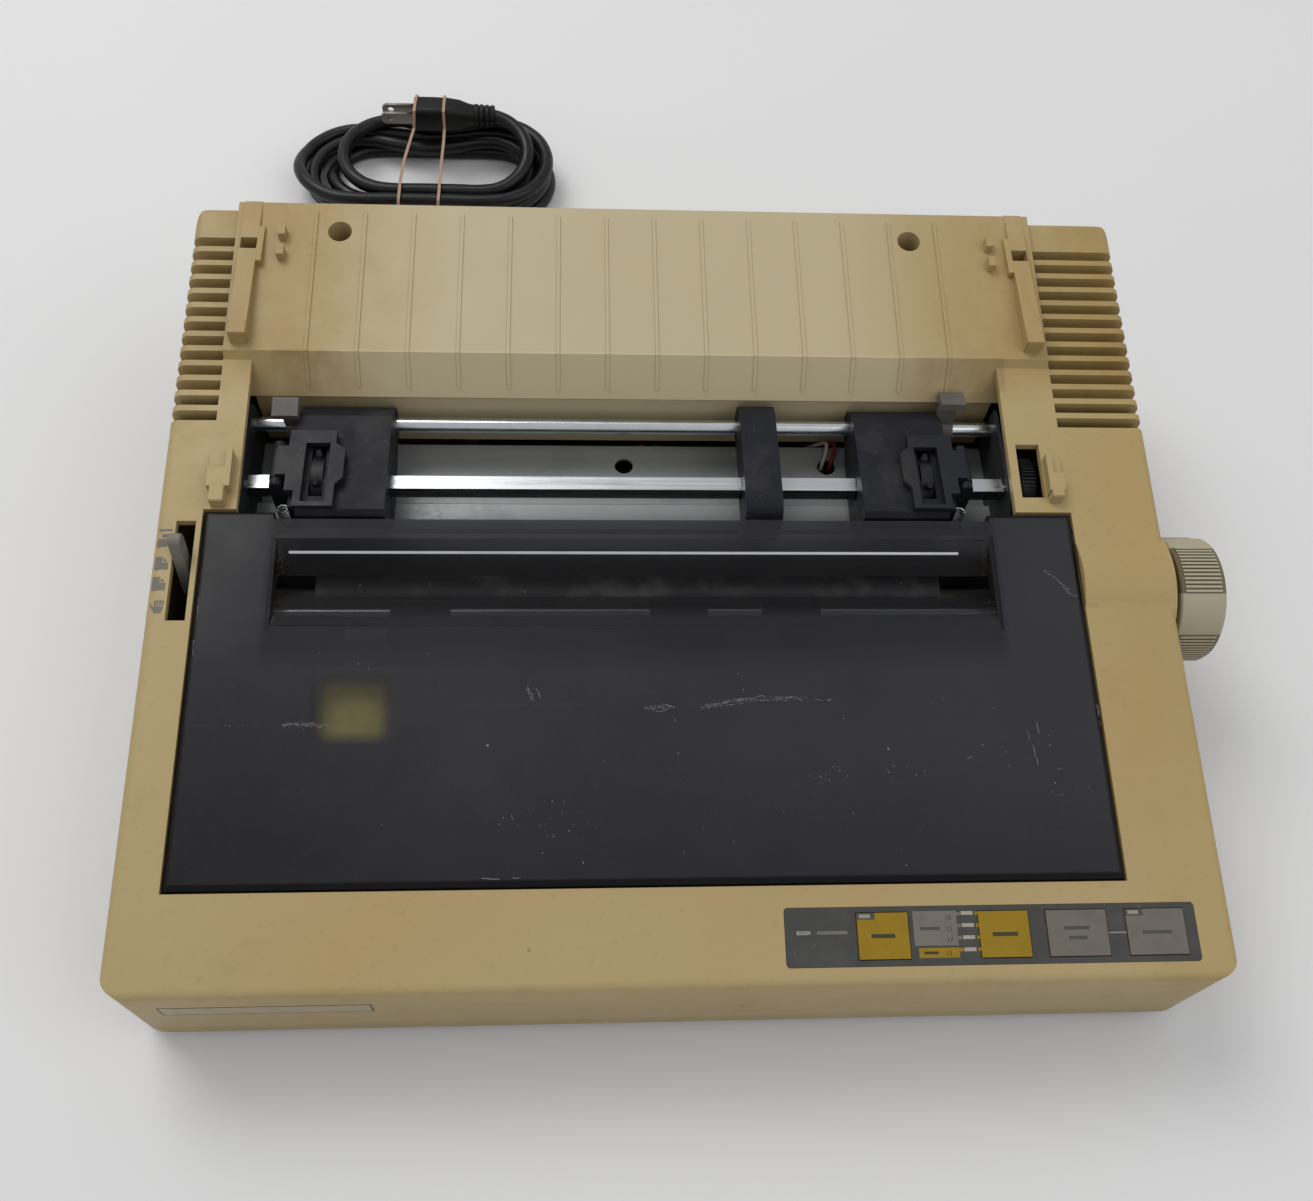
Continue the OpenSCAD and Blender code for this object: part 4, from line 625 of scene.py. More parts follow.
# Each fold: side, centre x and y, radius, first and last height, and how far the run into it is drawn
# towards the middle
FOLDS = [
    (1, -80, HANK_Y, OUTER, LOW, LOW, 0),
    (-1, -150, HANK_Y + 3.5, MIDDLE, LOW, LOW, 0),
    (1, -80, HANK_Y, INNER, LOW, LOW, 0),
    (-1, -141, HANK_Y, INNER, LOW, MID, 0),
    (1, -83, HANK_Y, INNER, MID, MID, 5),
    (-1, -147, HANK_Y - 3.5, MIDDLE, MID, MID, -6),
    (1, -82, HANK_Y, OUTER, MID, MID, 2),
    (-1, -150, HANK_Y, OUTER, MID, HIGH, -4),
    (1, -81, HANK_Y, OUTER, HIGH, HIGH, 0),
    (-1, -131, HANK_Y + 3.5, MIDDLE, HIGH, HIGH, -5),
    (1, -84, HANK_Y, INNER, HIGH, TOP + 7, 0),
]
FOLD_POINTS = 9
# A left fold climbs over this share of its turn, from this share on
CLIMB_FROM, CLIMB_OVER = 0.3, 0.42
# A run longer than this gets points at these shares of its length
LONG_RUN = 24
RUN_SHARES = (0.3, 0.5, 0.7)

PLUG_X = HANK_X + 10
PLUG_Y = HANK_Y + INNER
PLUG_Z = TOP + 7
PLUG_L = 31.0
# Along the plug from the blades to the cord: distance, half width, half height, corner radius
PLUG_STATIONS = [(-15.5, 5.6, 6.2, 1.6), (-14.8, 6.3, 6.9, 2.2), (-6, 6.5, 7.0, 2.6), (2, 6.4, 6.9, 2.8),
                 (8, 6.1, 6.2, 3.0), (13, 5.0, 5.0, 3.4), (15.5, 4.7, 4.7, 3.6)]
# The collar's rings, and the profile of each: distance from its start, and from its radius
COLLAR_RINGS = 4
COLLAR_PITCH = 2.8
COLLAR_R = 5.6
COLLAR_TAPER = 0.15
COLLAR_PROFILE = ((0, -0.6), (0.5, 0), (2.0, 0), (2.5, -0.6))
# The blades' length and half width, their tip's too, their thickness and offset from the middle
BLADE_L = 17.0
BLADE_HALF = 3.15
BLADE_TIP = (2.0, 1.6)
BLADE_T = 1.5
BLADE_OFF = 3.35
HOLE_R = 1.6
HOLE_BACK = 4.4

BAND_X = (HANK_X - 11, HANK_X + 9)
BAND_W, BAND_T = 1.4, 0.7
# How far each strand drifts to the right on its way over the bundle
BAND_DRIFT = ((-0.6, -0.6, -0.4, -0.2, 0, 0.2, 0.3, 1.6, 3.6, 5.4, 6.2, 6.6, 7, 7.4, 7.8, 8, 8),
              (-0.6, -0.6, -0.4, -0.2, 0, 0.2, 0.3, 0.6, 1, 1.2, 1.3, 1.4, 1.5, 1.6, 1.7, 1.8, 1.8))


def fold_points(side, x, y, radius, z0, z1):
    """Half a turn, from front to rear on the right side and from rear to front on the left."""
    points = []
    for i in range(FOLD_POINTS):
        t = i / (FOLD_POINTS - 1)
        angle = math.pi * (t - 0.5) if side > 0 else math.pi * (t + 0.5)
        early = min(1.0, max(0.0, (t - CLIMB_FROM) / CLIMB_OVER)) if side < 0 else t
        rise = early * early * (3 - 2 * early)
        points.append((x + radius * math.cos(angle), y + radius * math.sin(angle), z0 + (z1 - z0) * rise))
    return points


def make_cord():
    """The cord as one curve: the lead, the folds with the runs between them, and the end in the plug."""
    route = list(LEAD)
    for *fold, draw in FOLDS:
        turn = fold_points(*fold)
        start, end = Vector(route[-1]), Vector(turn[0])
        if (end - start).length > LONG_RUN:
            for share in RUN_SHARES:
                inward = draw * (1 - math.cos(math.tau * share)) / 2
                route.append(tuple(start.lerp(end, share) + Vector((0, inward, 0))))
        route += turn
    route.append((PLUG_X + 17, PLUG_Y, PLUG_Z))
    cord = curve_object("power_cord", [at(*p) for p in route], CORD_D / 2 * MM, resolution=4)
    return place(cord, cord_rubber, "case", ["cord_lead", "cord_hank"])


def round_ring(half_a, half_b, radius, steps=5):
    """Points of a rounded rectangle around zero."""
    points = []
    for sa, sb, start in ((1, 1, 0), (-1, 1, 90), (-1, -1, 180), (1, -1, 270)):
        for i in range(steps + 1):
            angle = math.radians(start + 90 * i / steps)
            points.append((sa * (half_a - radius) + radius * math.cos(angle),
                           sb * (half_b - radius) + radius * math.sin(angle)))
    return points


def blade_outlines():
    """The outline of a blade, from inside the plug to its tip, and its round hole."""
    end = -PLUG_L / 2 - BLADE_L
    root, neck = -PLUG_L / 2 + 1, end + BLADE_TIP[0]
    outline = [(root, -BLADE_HALF), (neck, -BLADE_HALF), (end + 0.1, -BLADE_TIP[1]),
               (end + 0.1, BLADE_TIP[1]), (neck, BLADE_HALF), (root, BLADE_HALF)]
    hole = [(end + HOLE_BACK + HOLE_R * math.cos(a), HOLE_R * math.sin(a)) for a in round_angles(16)]
    return [outline, hole]


def make_plug():
    """The plug's body with its ringed collar, and two blades."""
    rings = [[Vector((d, a, b)) * MM for a, b in round_ring(hw, hh, r)] for d, hw, hh, r in PLUG_STATIONS]
    for i in range(COLLAR_RINGS):
        for along, out in COLLAR_PROFILE:
            d = PLUG_STATIONS[-1][0] + i * COLLAR_PITCH + along
            r = COLLAR_R - COLLAR_TAPER * i + out
            rings.append([Vector((d, a, b)) * MM for a, b in round_ring(r, r, r - 0.01)])
    stand = Matrix.Translation(at(PLUG_X, PLUG_Y, PLUG_Z))
    body = loft("plug_body", rings)
    body.matrix_world = stand
    place(body, plug_rubber, "case", ["power_plug"])
    pieces = [body]
    for side in (-1, 1):
        blade = plate("plug_blade", blade_outlines(), BLADE_T)
        blade.matrix_world = stand @ Matrix.Translation((0, side * BLADE_OFF * MM, 0)) @ UPRIGHT
        place(blade, blade_steel, "case", ["power_plug"])
        pieces.append(blade)
    return pieces


def make_bands():
    """Two strands of one rubber band, both over the bundle and the plug."""
    front, rear = HANK_Y - 33.7, HANK_Y + 33.5
    far, near, over = PLUG_Y + 7.2, PLUG_Y - 7.4, PLUG_Z + 7.5
    line = [(front, 1.2), (front, 8), (front, 16), (front - 1.0, TOP - 1.6), (front + 0.4, TOP + 0.3),
            (front + 4, TOP + 1.2), (HANK_Y - 20, TOP + 1.4), (HANK_Y - 6, TOP + 2.4), (HANK_Y + 6, TOP + 3),
            (near - 0.6, TOP + 4.6), (near + 1.4, over - 0.8), (PLUG_Y, over), (far - 1.4, over - 0.6),
            (far + 0.8, PLUG_Z + 2), (rear - 0.5, TOP - 3), (rear, 12), (rear, 1.2)]
    pieces = []
    for x, drift in zip(BAND_X, BAND_DRIFT):
        points = [at(x + dx, y, z) for dx, (y, z) in zip(drift, line)]
        strand = ribbon("band_strand", points, BAND_W, BAND_T)
        pieces.append(place(strand, tan_band, "case", ["cord_band"]))
    return pieces


cord = make_cord()
plug = make_plug()
bands = make_bands()

# ---- Mouldings and metal beside the CAD nodes ----

# Ends of the cover's recess, of the bay and of the cover's slot; the lip behind the bay
COVER_X = (-174.3, 155.5)
COVER_Y1 = 172.3
BAY_X = (-163.0, 134.4)
SLOT_X = (-147.0, 122.0)
LIP_Y, LIP_Z = 229.0, 82.1
# The wall below the lip: how far behind its edge it starts and ends, and its foot
WALL_BEHIND = (1.0, 2.6)
WALL_FOOT_Z = 53.2
# Ends of each rail along x, where the CAD rail ends, its heights over the deck, and what is added
RAILS = ((-171.3, -164.3), (145.5, 152.5))
RAIL_END = 248.0
RAIL_FRONT, RAIL_REAR = 8.6, 2.8
RAIL_MORE = 5.5
# Ends of each catch along x and its gap behind the cover; where the catches' fronts end, and how high
CATCHES = ((-172.4, -167.0, 1.6), (148.2, 153.0, 5.0))
CATCH_REACH = 8.2
CATCH_H = 5.2
# Radius of the hood over the knob's end, and the x at which the CAD hood takes over
HOOD_R = 27.9
HOOD_CAD_X = 161.4
# The release lever: its x, pivot and tilt, its length from the pivot, the strap's width and foot
LEVER_X = -180.7
LEVER_PIVOT = (147.3, 46.0)
LEVER_TILT = math.radians(12)
LEVER_L = 46.6
LEVER_BOSS = 5.5
STRAP_W = 5.4
STRAP_FOOT = 18.0
# The slot's rear wall, from its foot to its top, and the strip's corners along and off it
TEAR_FOOT = (150.1, 74.8)
TEAR_TOP = (160.5, 83.6)
TEAR_CORNERS = ((-5.2, 0), (-4.2, 0), (-4.2, 0.4), (-5.2, 0.4))
# The right louvres: their ends along y, number, pitch, gap, depth and x span, the x at which the CAD is
# solid, the rim round the ribs, how far the ribs lie below the deck, and a play that parts the faces
LOUVRE_Y = (210.6, 294.0)
LOUVRE_N = 13
LOUVRE_PITCH = 6.6
LOUVRE_GAP = 4.2
LOUVRE_DEPTH = 6.0
LOUVRE_MORE = (156.2, 175.4)
LOUVRE_BLOCK_X = 172.6
LOUVRE_RIM = 2.4
COMB_SINK = 0.7
EASE = 0.12


def make_case_parts():
    """The wall below the lip, the fronts of the rails and catches, and the hood's inner end."""
    y0, y1 = (LIP_Y + behind for behind in WALL_BEHIND)
    wall = [(y0, WALL_FOOT_Z), (y1, WALL_FOOT_Z), (y1, LIP_Z - 1), (y0, LIP_Z - 1)]
    parts = [across_x("bay_wall", wall, BAY_X[0] - 0.5, BAY_X[1] + 0.5, 0.2)]
    front, rear = RAIL_END - RAIL_MORE, RAIL_END + 0.3
    top = deck_z(RAIL_END) + RAIL_FRONT
    fall = (deck_z(CASE_D) + RAIL_REAR - top) / (CASE_D - RAIL_END) * RAIL_MORE
    rail = [(front, deck_z(front) - 1), (rear, deck_z(RAIL_END) - 1), (rear, top), (front, top - fall)]
    for xs in RAILS:
        parts.append(across_x("rail_front", rail, *xs))
    for x0, x1, gap in CATCHES:
        parts.append(sloped("catch_front", (x0, x1), COVER_Y1 + gap, COVER_Y1 + CATCH_REACH, -1, CATCH_H))
    hood = [(y, z) for y, z in arc(HOOD_R, range(50, 131, 5), PLATEN_Y, PLATEN_Z) if z > deck_z(y) - 1.5]
    parts.append(across_x("hood_end", hood, COVER_X[1] + 0.8, HOOD_CAD_X, 0.2))
    for part in parts:
        place(part, case_top, "case")


def make_lever():
    """A narrow leg on its pivot, carrying a flat strap with a round end."""
    def turned(y, z):
        """A point of the upright lever, tilted with it."""
        c, s = math.cos(LEVER_TILT), math.sin(LEVER_TILT)
        return LEVER_PIVOT[0] + y * c + z * s, LEVER_PIVOT[1] - y * s + z * c

    half = STRAP_W / 2
    leg = [(-5, 0), (-half, STRAP_FOOT + 2), (half, STRAP_FOOT + 2), (5, 0)]
    leg += arc(LEVER_BOSS, range(-15, -166, -15))
    strap = [(-half, STRAP_FOOT), (half, STRAP_FOOT)] + arc(half, range(0, 181, 15), z=LEVER_L - half)
    for name, outline, x0, x1 in (("lever_leg", leg, -1.5, 1.5), ("lever_strap", strap, -3, 1.6)):
        outline = [turned(y, z) for y, z in outline]
        piece = across_x(name, outline, LEVER_X + x0, LEVER_X + x1, smooth_deg=25)
        place(piece, lever_pale, "lever", ["release_lever"])


def make_tear_bar():
    """A thin bright strip along the slot's rear wall."""
    along = (Vector(TEAR_TOP) - Vector(TEAR_FOOT)).normalized()
    out = Vector((-along.y, along.x))
    outline = [tuple(Vector(TEAR_TOP) + along * a + out * b) for a, b in TEAR_CORNERS]
    strip = across_x("tear_strip", outline, SLOT_X[0] + 4.5, SLOT_X[1] - 12, 0.1)
    place(strip, tear_steel, "front_cover", ["tear_bar"])


def comb():
    """The (y, z) outline of the ribs below the deck that carry on the right louvres."""
    y0, y1 = LOUVRE_Y[0] - LOUVRE_RIM, LOUVRE_Y[1] + LOUVRE_RIM
    floor = LOUVRE_DEPTH + LOUVRE_RIM
    outline = [(y0, deck_z(y0) - floor), (y1, deck_z(y1) - floor), (y1, deck_z(y1) - COMB_SINK)]
    for i in range(LOUVRE_N):
        y = LOUVRE_Y[1] - i * LOUVRE_PITCH
        rear, front = y + EASE, y - LOUVRE_GAP - EASE
        depths = (COMB_SINK, LOUVRE_DEPTH + EASE, LOUVRE_DEPTH + EASE, COMB_SINK)
        outline += [(edge, deck_z(edge) - low) for edge, low in zip((rear, rear, front, front), depths)]
    return outline + [(y0, deck_z(y0) - COMB_SINK)]


def louvre_cutters():
    """A bar for each louvre's gap, from the louvre's floor to above the deck."""
    cutters = []
    for i in range(LOUVRE_N):
        rear = LOUVRE_Y[1] - i * LOUVRE_PITCH
        front = rear - LOUVRE_GAP
        outline = [(front, deck_z(front) - LOUVRE_DEPTH), (rear, deck_z(rear) - LOUVRE_DEPTH),
                   (rear, deck_z(rear) + 2), (front, deck_z(front) + 2)]
        cutters.append(across_x("cutter", outline, *LOUVRE_MORE, edge=0))
    return cutters


def make_upper_case():
    """The upper case with its right louvres carried on to the platform."""
    cutters = louvre_cutters()
    case = link(bpy.data.objects.new("upper_case_cut", NODES["upper_case"].data.copy()))
    for cutter in cutters:
        cut = case.modifiers.new("louvre", "BOOLEAN")
        cut.operation = "DIFFERENCE"
        cut.solver = "EXACT"
        cut.object = cutter
    bm = bmesh.new()
    bm.from_object(case, bpy.context.evaluated_depsgraph_get())
    for obj in cutters + [case]:
        bpy.data.objects.remove(obj)
    shell = finish_mesh("upper_case_shell", bm)
    place(shell, case_top, "case", ["upper_case"])
    left = LOUVRE_MORE[0]
    ribs = across_x("louvre_ribs", comb(), left - EASE, LOUVRE_BLOCK_X, edge=0)
    end = sloped("louvre_end", (left - 1.2, left - 0.05), LOUVRE_Y[0] - LOUVRE_RIM, LOUVRE_Y[1] + LOUVRE_RIM,
                 -LOUVRE_DEPTH - LOUVRE_RIM, -1.2)
    for piece in (ribs, end):
        place(piece, case_top, "case")


make_upper_case()
make_case_parts()
make_lever()
make_tear_bar()

# ---- Leads behind and across the pan ----

# The round shaft's y, the board's front edge and top, the pan's height, and the middle of the pin rows
ROD_Y = 222.0
BOARD_Y = 242.0
BOARD_Z = 20.0
PLATE_Z = 23.5
PIN_MID = -16.6
WIRE_D = 1.6
# Each lead's x and colour: two that arch behind the shaft, two that dip over the pan's edge
ARCHED = [(PIN_MID + 4.4, wire_red), (PIN_MID + 11, wire_blue)]
DIPPED = [(PIN_MID + 83.4, wire_white), (PIN_MID + 86.8, wire_red)]


def lead_rise(x, lean):
    """The way of each lead from the board up to the shaft."""
    return [(x, BOARD_Y + 2, BOARD_Z + 1.5), (x + lean / 4, BOARD_Y + 1.6, BOARD_Z + 12),
            (x + lean / 2, BOARD_Y - 5, PLATEN_Z - 16), (x + lean, ROD_Y + 9, PLATEN_Z - 9)]


def lead_arch(x):
    """A lead that goes over behind the shaft and down to the pan."""
    return lead_rise(x, 2) + [(x + 4, ROD_Y + 6.2, PLATEN_Z - 4.4), (x + 7, ROD_Y + 6.2, PLATEN_Z - 9),
                              (x + 9, ROD_Y + 4, PLATE_Z + 12.5), (x + 9, ROD_Y + 1, PLATE_Z + 1.2)]


def lead_dip(x):
    """A lead that goes over the shaft and down in front of it."""
    return lead_rise(x, -3.4) + [(x - 0.8, ROD_Y + 5.8, PLATEN_Z - 2), (x + 2.4, ROD_Y + 3.2, PLATEN_Z + 2.4),
                                 (x + 2, ROD_Y - 1, PLATEN_Z + 3), (x + 0.4, ROD_Y - 5.6, PLATEN_Z + 0.8),
                                 (x, ROD_Y - 6.6, PLATEN_Z - 2.6)]


def make_wires():
    """The thin coloured leads that show in the bay."""
    for leads, route in ((ARCHED, lead_arch), (DIPPED, lead_dip)):
        for x, paint in leads:
            wire = curve_object("wire", [at(*p) for p in route(x)], WIRE_D / 2 * MM, resolution=5)
            place(wire, paint, "case", ["wiring"])


# ---- Prints: every word is a plain bar ----

# The panel's front left corner, and how far its top and the keys' tops lie above the deck
PANEL_X = 34.4
PANEL_Y = 6.0
PANEL_TOP = 0.14
KEY_TOP = 0.53
# A print's thickness, and how far a print on another lies above it
PRINT_T = 0.04
OVER = 0.05
LAMP_ROWS = (4.6, 8.6, 12.6)
LAST_ROW = 16.6


def on_panel(lift):
    """The panel's front left corner, turned into the deck's slope and lifted off it."""
    return Matrix.Translation(on_deck(PANEL_X, PANEL_Y, lift)) @ Matrix.Rotation(SLOPE, 4, "X")


def deck_print(name, loops, paint, lift=PANEL_TOP, body="case"):
    """A printed mark on the deck; its outline is measured from the panel's front left corner."""
    mark = plate(name, loops, PRINT_T)
    mark.matrix_world = on_panel(lift)
    return place(mark, paint, body)


def bar(x, y, w, h):
    """A rectangle's outline."""
    return [(x, y), (x + w, y), (x + w, y + h), (x, y + h)]


def toothed(x0, x1, y0, y1, teeth, size):
    """A rectangle with square teeth on its right side."""
    points = [(x0, y1), (x0, y0), (x1, y0)]
    for y in teeth:
        points += [(x1, y), (x1 + size, y), (x1 + size, y + 1.1), (x1, y + 1.1)]
    points.append((x1, y1))
    return points


def digits(name, text, x, y, size, paint):
    """Small plain numbers."""
    font = bpy.data.curves.new(name, "FONT")
    font.body = text
    font.size = size * MM
    font.extrude = 0.00002
    obj = link(bpy.data.objects.new(name, font))
    obj.matrix_world = on_panel(PANEL_TOP + PRINT_T) @ Matrix.Translation((x * MM, y * MM, 0))
    return place(obj, paint, "case")


def make_panel_prints():
    """Bars for the words, toothed fields for the pitches, and the keys' marks and lamps."""
    rows = LAMP_ROWS + (LAST_ROW,)
    deck_print("power_lamp", [bar(4.6, 11, 4.2, 1.0)], print_pale, PANEL_TOP + OVER)
    deck_print("power_bar", [bar(11, 10.9, 10.6, 1.1)], print_grey)
    deck_print("pitch_block", [toothed(44.4, 59.6, 6.6, 18.2, rows[1:], 1.4)], print_grey)
    deck_print("pitch_strip", [toothed(45.6, 59.6, 2.6, 5.9, rows[:1], 1.4)], print_yellow)
    deck_print("key_teeth", [bar(66.2, y, 1.6, 1.2) for y in rows], print_yellow)
    for row, text in ((15.2, "10"), (11.4, "12"), (7.6, "17")):
        digits("pitch", text, 55.6, row, 2.2, print_dark)
    digits("pitch", "12", 55.0, 3.3, 2.0, print_dark)
    deck_print("draft_bar", [bar(46.6, 11.8, 6.8, 1.0)], print_slate, PANEL_TOP + OVER)
    deck_print("letter_bar", [bar(47.4, 3.8, 5.0, 0.9)], print_dark, PANEL_TOP + OVER)
    deck_print("link_line", [bar(112.4, 9.8, 6.2, 0.4)], print_pale)
    marks = {
        "key_a": ([bar(29.6, 9.4, 8.2, 1.3)], print_dark), "key_b": ([bar(71.6, 9.4, 8.8, 1.3)], print_dark),
        "key_c": ([bar(96.8, 11.2, 9.0, 1.1), bar(98.2, 7.9, 6.4, 1.1)], print_slate),
        "key_d": ([bar(124.2, 9.4, 10.4, 1.1)], print_slate),
    }
    for body, (loops, paint) in marks.items():
        deck_print("key_mark", loops, paint, KEY_TOP, body)
    for x, body in ((25, "key_a"), (119, "key_d")):
        deck_print("key_notch", [bar(x, 15.6, 6.2, 2.2)], print_slate, KEY_TOP, body)
        deck_print("key_lamp", [bar(x + 0.8, 16.1, 3.8, 1.2)], print_lamp, KEY_TOP + OVER, body)


# Left edge of the marks beside the release lever, and the small gap between a sheet and its flap
MARK_X = -190.2
FOLD_GAP = 0.3


def page(x, y, w, h):
    """A sheet with a folded corner: the sheet and its flap."""
    fold = w * 0.4
    fold_x, fold_y = x + w - fold, y + h - fold
    cut_x, cut_y = fold_x - FOLD_GAP, fold_y - FOLD_GAP
    sheet = [(x, y), (x + w, y), (x + w, cut_y), (cut_x, cut_y), (cut_x, y + h), (x, y + h)]
    flap = [(fold_x + 0.1, y + h - FOLD_GAP), (x + w - FOLD_GAP, fold_y + 0.1), (fold_x + 0.1, fold_y + 0.1)]
    return [sheet, flap]


def within(box, *outlines):
    """Outlines drawn in a square of 1 by 1, fitted into a box of x, y, width and height."""
    x, y, w, h = box
    return [[(x + w * a, y + h * b) for a, b in points] for points in outlines]


def stack(*box):
    """Two sheets, one behind the other."""
    return within(box, [(0, 0), (0.75, 0), (0.75, 0.62), (0, 0.62)],
                  [(0.3, 0.72), (0.86, 0.72), (0.86, 0.3), (1, 0.3), (1, 1), (0.3, 1)])


def hand(*box):
    """A raised hand: palm, thumb and four fingers."""
    palm = [(0.32, 0), (0.86, 0), (1, 0.5), (0.3, 0.55)]
    thumb = [(0.3, 0.14), (0.32, 0.4), (0.08, 0.66), (0, 0.58)]
    fingers = [bar(0.3 + 0.19 * i, 0.58, 0.13, tall) for i, tall in enumerate((0.36, 0.41, 0.41, 0.36))]
    return within(box, palm, thumb, *fingers)


def make_lever_marks():
    """Generic marks for the lever's settings: a bar, two sheets as a stack, two pages and a hand."""
    loops = [bar(MARK_X + 0.1, 164.4, 4.8, 0.9)]
    loops += stack(MARK_X, 158.2, 4.8, 5.1) + page(MARK_X, 149.2, 4.8, 5.0)
    loops += page(MARK_X - 0.1, 141.1, 4.8, 5.2) + hand(MARK_X, 132.3, 4.9, 5.2)
    marks = [[(px - PANEL_X, (py - PANEL_Y) / math.cos(SLOPE)) for px, py in loop] for loop in loops]
    deck_print("lever_marks", marks, print_ink, 0.02)


# The bare nameplate's ends along x and z, and the y just in front of the case on which it lies
NAMEPLATE = (-176.0, -105.0, 35.0, 45.2)
FRONT_Y = -0.02


def make_nameplate():
    """The nameplate, left bare: a dark rim and a silver field."""
    x0, x1, z0, z1 = NAMEPLATE
    for inset, lift, paint in ((0, 0.0, print_slate), (0.7, 0.03, plate_silver)):
        mark = plate("nameplate", [bar(x0 + inset, z0 + inset, x1 - x0 - 2 * inset, z1 - z0 - 2 * inset)],
                     PRINT_T)
        mark.matrix_world = Matrix.Translation(at(0, FRONT_Y - lift, 0)) @ UPRIGHT
        place(mark, paint, "case")


# ---- Marks of use on the smoke cover ----

# How far the marks lie above the deck, and the share of each scratch that is left out
COVER_TOP = 1.22
SCRATCH_GAPS = 0.22
SCRATCHES = [
    [(-11.5, 96.1), (-8.6, 95.2), (-5, 97.2), (-0.7, 96.1)], [(-10, 95), (-5.4, 94.6), (-3, 95.6)],
    [(10.1, 96), (14, 97), (19.3, 98.6), (25, 98.9), (31, 100), (37, 99.6), (42, 99.9), (47, 97.6)],
    [(16, 95.8), (20, 97.2), (24, 97.4)], [(30, 98.4), (36, 98.9), (40, 98)],
    [(50, 99), (53, 98.2), (56, 98.9)], [(-138.4, 90), (-135, 91), (-131, 90.2), (-128, 91.2)],
    [(-127, 89.2), (-124, 90.6), (-122.6, 90)],
    [(141.5, 149), (144.5, 146.5), (147.4, 144.1), (150.8, 141)], [(148, 142.2), (151, 139), (154.3, 138)],
    [(127, 86), (128.6, 80), (129.4, 74)], [(131, 90), (131.4, 84)],
    [(-53.8, 104), (-51.6, 100.6), (-52.4, 98.4)], [(-50.4, 103.4), (-49, 100)], [(103, 76.5), (106, 77.4)],
    [(-172.9, 141), (-172.5, 129)], [(-172.8, 122), (-172.4, 116)], [(154.6, 96), (154.4, 88)],
    [(-68, 36.8), (-60, 36.6), (-55, 36.9)],
]
# Patches of specks: x, y, half width, half depth, how many
SPECKS = [(-52, 58, 12, 5, 12), (-40, 50, 12, 5, 10), (52, 72, 8, 4, 12), (79, 72, 10, 2.5, 8),
          (124, 78, 14, 7, 12), (140, 64, 7, 4, 6), (-30, 70, 60, 24, 10), (60, 95, 60, 14, 8),
          (-120, 112, 40, 8, 5), (0, 50, 110, 12, 8)]
# Streaks of fine specks: from x, y to x, y, half depth, how many
DUSTY = [(-11.8, 96, -0.6, 96.2, 1.1, 80), (8.6, 96, 24, 98.6, 1.6, 150), (22, 98.2, 48, 99.6, 1.2, 110),
         (-139, 90.6, -126, 90.2, 1.6, 120), (-171, 90.4, -146, 90.2, 0.3, 24),
         (-54, 103, -51, 98.6, 1.6, 40)]


def cover_face(bm, points):
    """One flat mark on the cover."""
    bm.faces.new([bm.verts.new(on_deck(x, y, COVER_TOP)) for x, y in points])


def add_specks(bm, rng):
    """Uneven seven-sided specks in patches."""
    for x, y, half_x, half_y, count in SPECKS:
        for _ in range(count):
            px, py = x + rng.uniform(-half_x, half_x), y + rng.uniform(-half_y, half_y)
            radius = rng.uniform(0.1, 0.27)
            cover_face(bm, [(px + radius * rng.uniform(0.6, 1.3) * math.cos(a),
                             py + radius * rng.uniform(0.6, 1.3) * math.sin(a)) for a in round_angles(7)])


def add_streaks(bm, rng):
    """Fine specks, denser towards the middle of each streak."""
    for x0, y0, x1, y1, half, count in DUSTY:
        for _ in range(count):
            share = rng.random()
            wide = half * (0.35 + 0.65 * math.sin(math.pi * share))
            px, py = x0 + (x1 - x0) * share, y0 + (y1 - y0) * share + rng.gauss(0, 0.45) * wide
            radius = rng.uniform(0.06, 0.16)
            cover_face(bm, [(px + radius * math.cos(a), py + radius * math.sin(a)) for a in round_angles(5)])


def add_scratches(bm, rng):
    """Thin broken lines, shaky and uneven in width."""
    for line in SCRATCHES:
        fine = [Vector(a).lerp(Vector(b), t) for a, b in zip(line, line[1:]) for t in (0, 0.25, 0.5, 0.75)]
        fine.append(Vector(line[-1]))
        shaky = [p + Vector((rng.uniform(-0.25, 0.25), rng.uniform(-0.3, 0.3))) for p in fine]
        for a, b in zip(shaky, shaky[1:]):
            if rng.random() < SCRATCH_GAPS:
                continue
            normal = Vector((a.y - b.y, b.x - a.x)).normalized() * rng.uniform(0.05, 0.17)
            cover_face(bm, [a + normal, a - normal, b - normal * 0.6, b + normal * 0.6])


def make_cover_marks():
    """Specks, streaks and scratches, drawn in this order from one seed."""
    bm = bmesh.new()
    rng = random.Random(7)
    add_specks(bm, rng)
    add_streaks(bm, rng)
    add_scratches(bm, rng)
    marks = finish_mesh("cover_scratches", bm)
    place(marks, scratch_white, "front_cover")


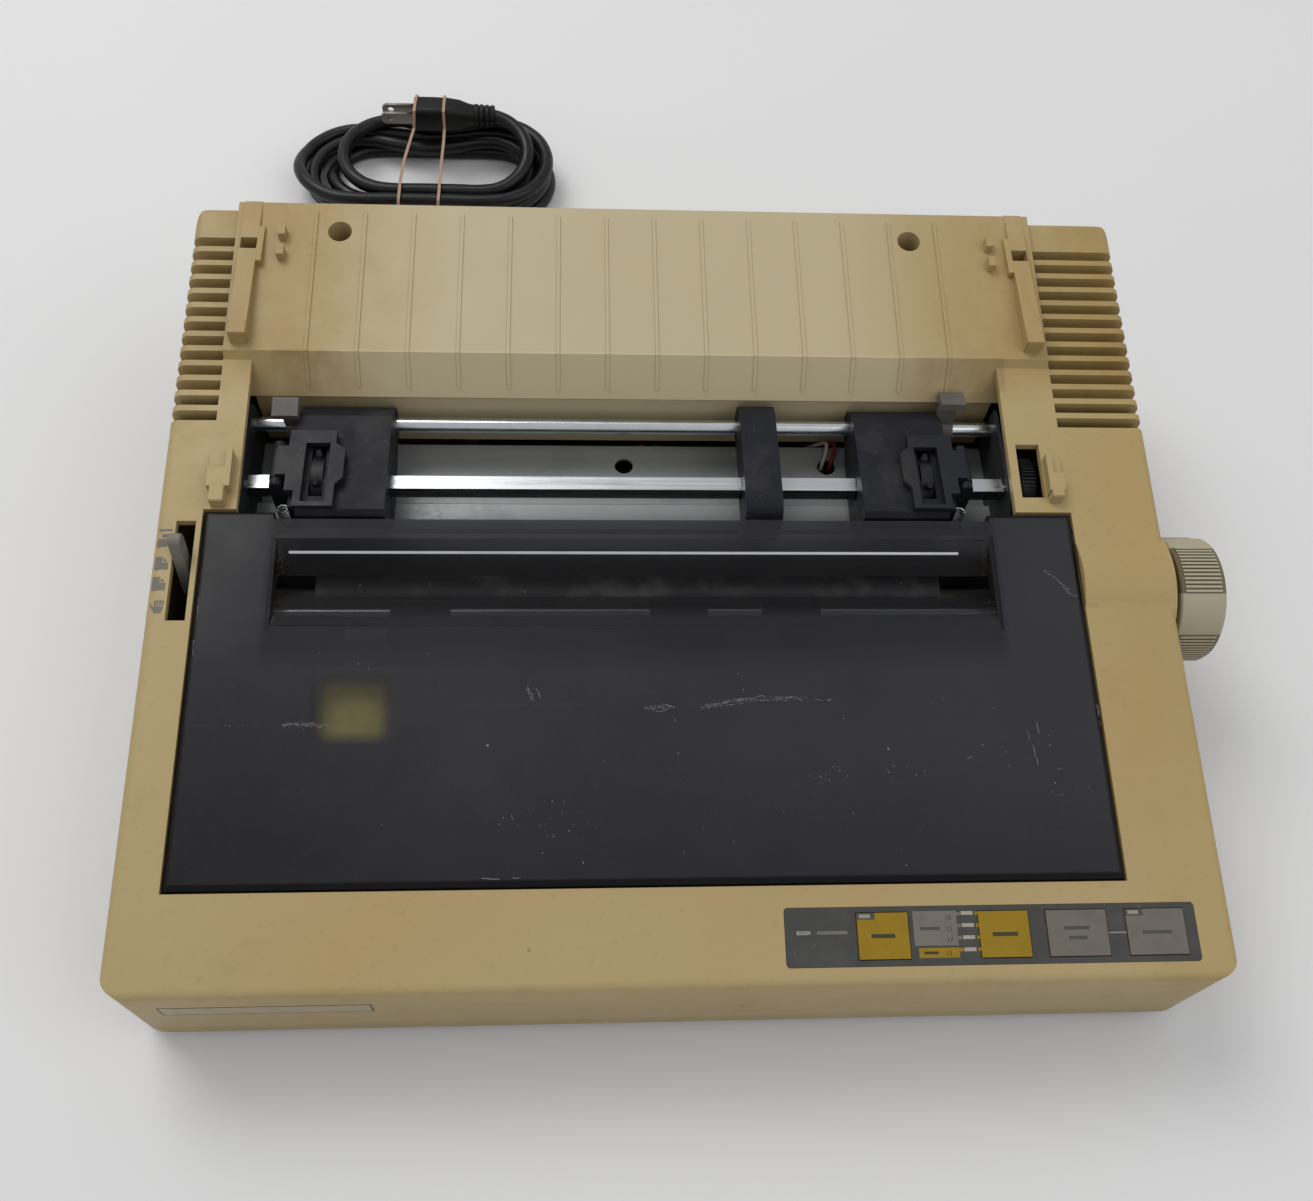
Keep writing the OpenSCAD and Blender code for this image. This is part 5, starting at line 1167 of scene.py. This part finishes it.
# The label's outline, and the printer's place that it is measured from, on the cartridge's top
LABEL = (-13.6, -14, 31, 30)
LABEL_AT = (-117, 100, 66.06)


def make_cartridge_label():
    """The ribbon cartridge's plain yellow label, seen through the cover's clear patch."""
    label = plate("ribbon_label", [bar(*LABEL)], PRINT_T)
    label.matrix_world = Matrix.Translation(at(*LABEL_AT))
    place(label, label_yellow, "print_carriage")


make_wires()
make_panel_prints()
make_lever_marks()
make_nameplate()
make_cover_marks()
make_cartridge_label()

# ---- Floor, backdrop and light ----

FLOOR_HALF = 6.0
SKY = (0.96, 0.97, 1.0, 1)
SKY_STRENGTH = 0.55
# Each lamp: name, place, width, power and colour; all of them point at the printer's middle
LAMPS = (("key", (-0.9, 1.0, 1.9), 1.2, 22, (1.0, 0.985, 0.96)),
         ("fill", (1.4, -0.6, 1.8), 1.6, 9, (1, 1, 1)))


def make_stage():
    """A pale floor that runs out of sight."""
    bm = bmesh.new()
    bmesh.ops.create_grid(bm, x_segments=8, y_segments=8, size=FLOOR_HALF)
    floor = finish_mesh("floor", bm)
    s = Shader("pale_floor", "#dfdfdf", 0.55)
    s.set("Specular IOR Level", 0.2)
    s.tint(s.ramp(s.noise(3, 3), 0.3, 0.8), "#d9d9d8", 0.5)
    floor.data.materials.append(s.material)


def area_lamp(name, spot, size, power, colour):
    """A square lamp at spot, pointing at the middle of the row frame."""
    data = bpy.data.lights.new(name, "AREA")
    data.shape = "SQUARE"
    data.size = size
    data.energy = power
    data.color = colour
    lamp = link(bpy.data.objects.new(name, data))
    lamp.location = spot
    lamp.rotation_euler = (-Vector(spot)).to_track_quat("-Z", "Y").to_euler()


def make_light():
    """An even sky, a key lamp from behind on the left and a weaker one from the front right."""
    world = bpy.data.worlds.new("world")
    world.use_nodes = True
    bpy.context.scene.world = world
    back = world.node_tree.nodes["Background"]
    back.inputs["Color"].default_value = SKY
    back.inputs["Strength"].default_value = SKY_STRENGTH
    for lamp in LAMPS:
        area_lamp(*lamp)


make_stage()
make_light()
bpy.context.scene.view_settings.view_transform = "Standard"
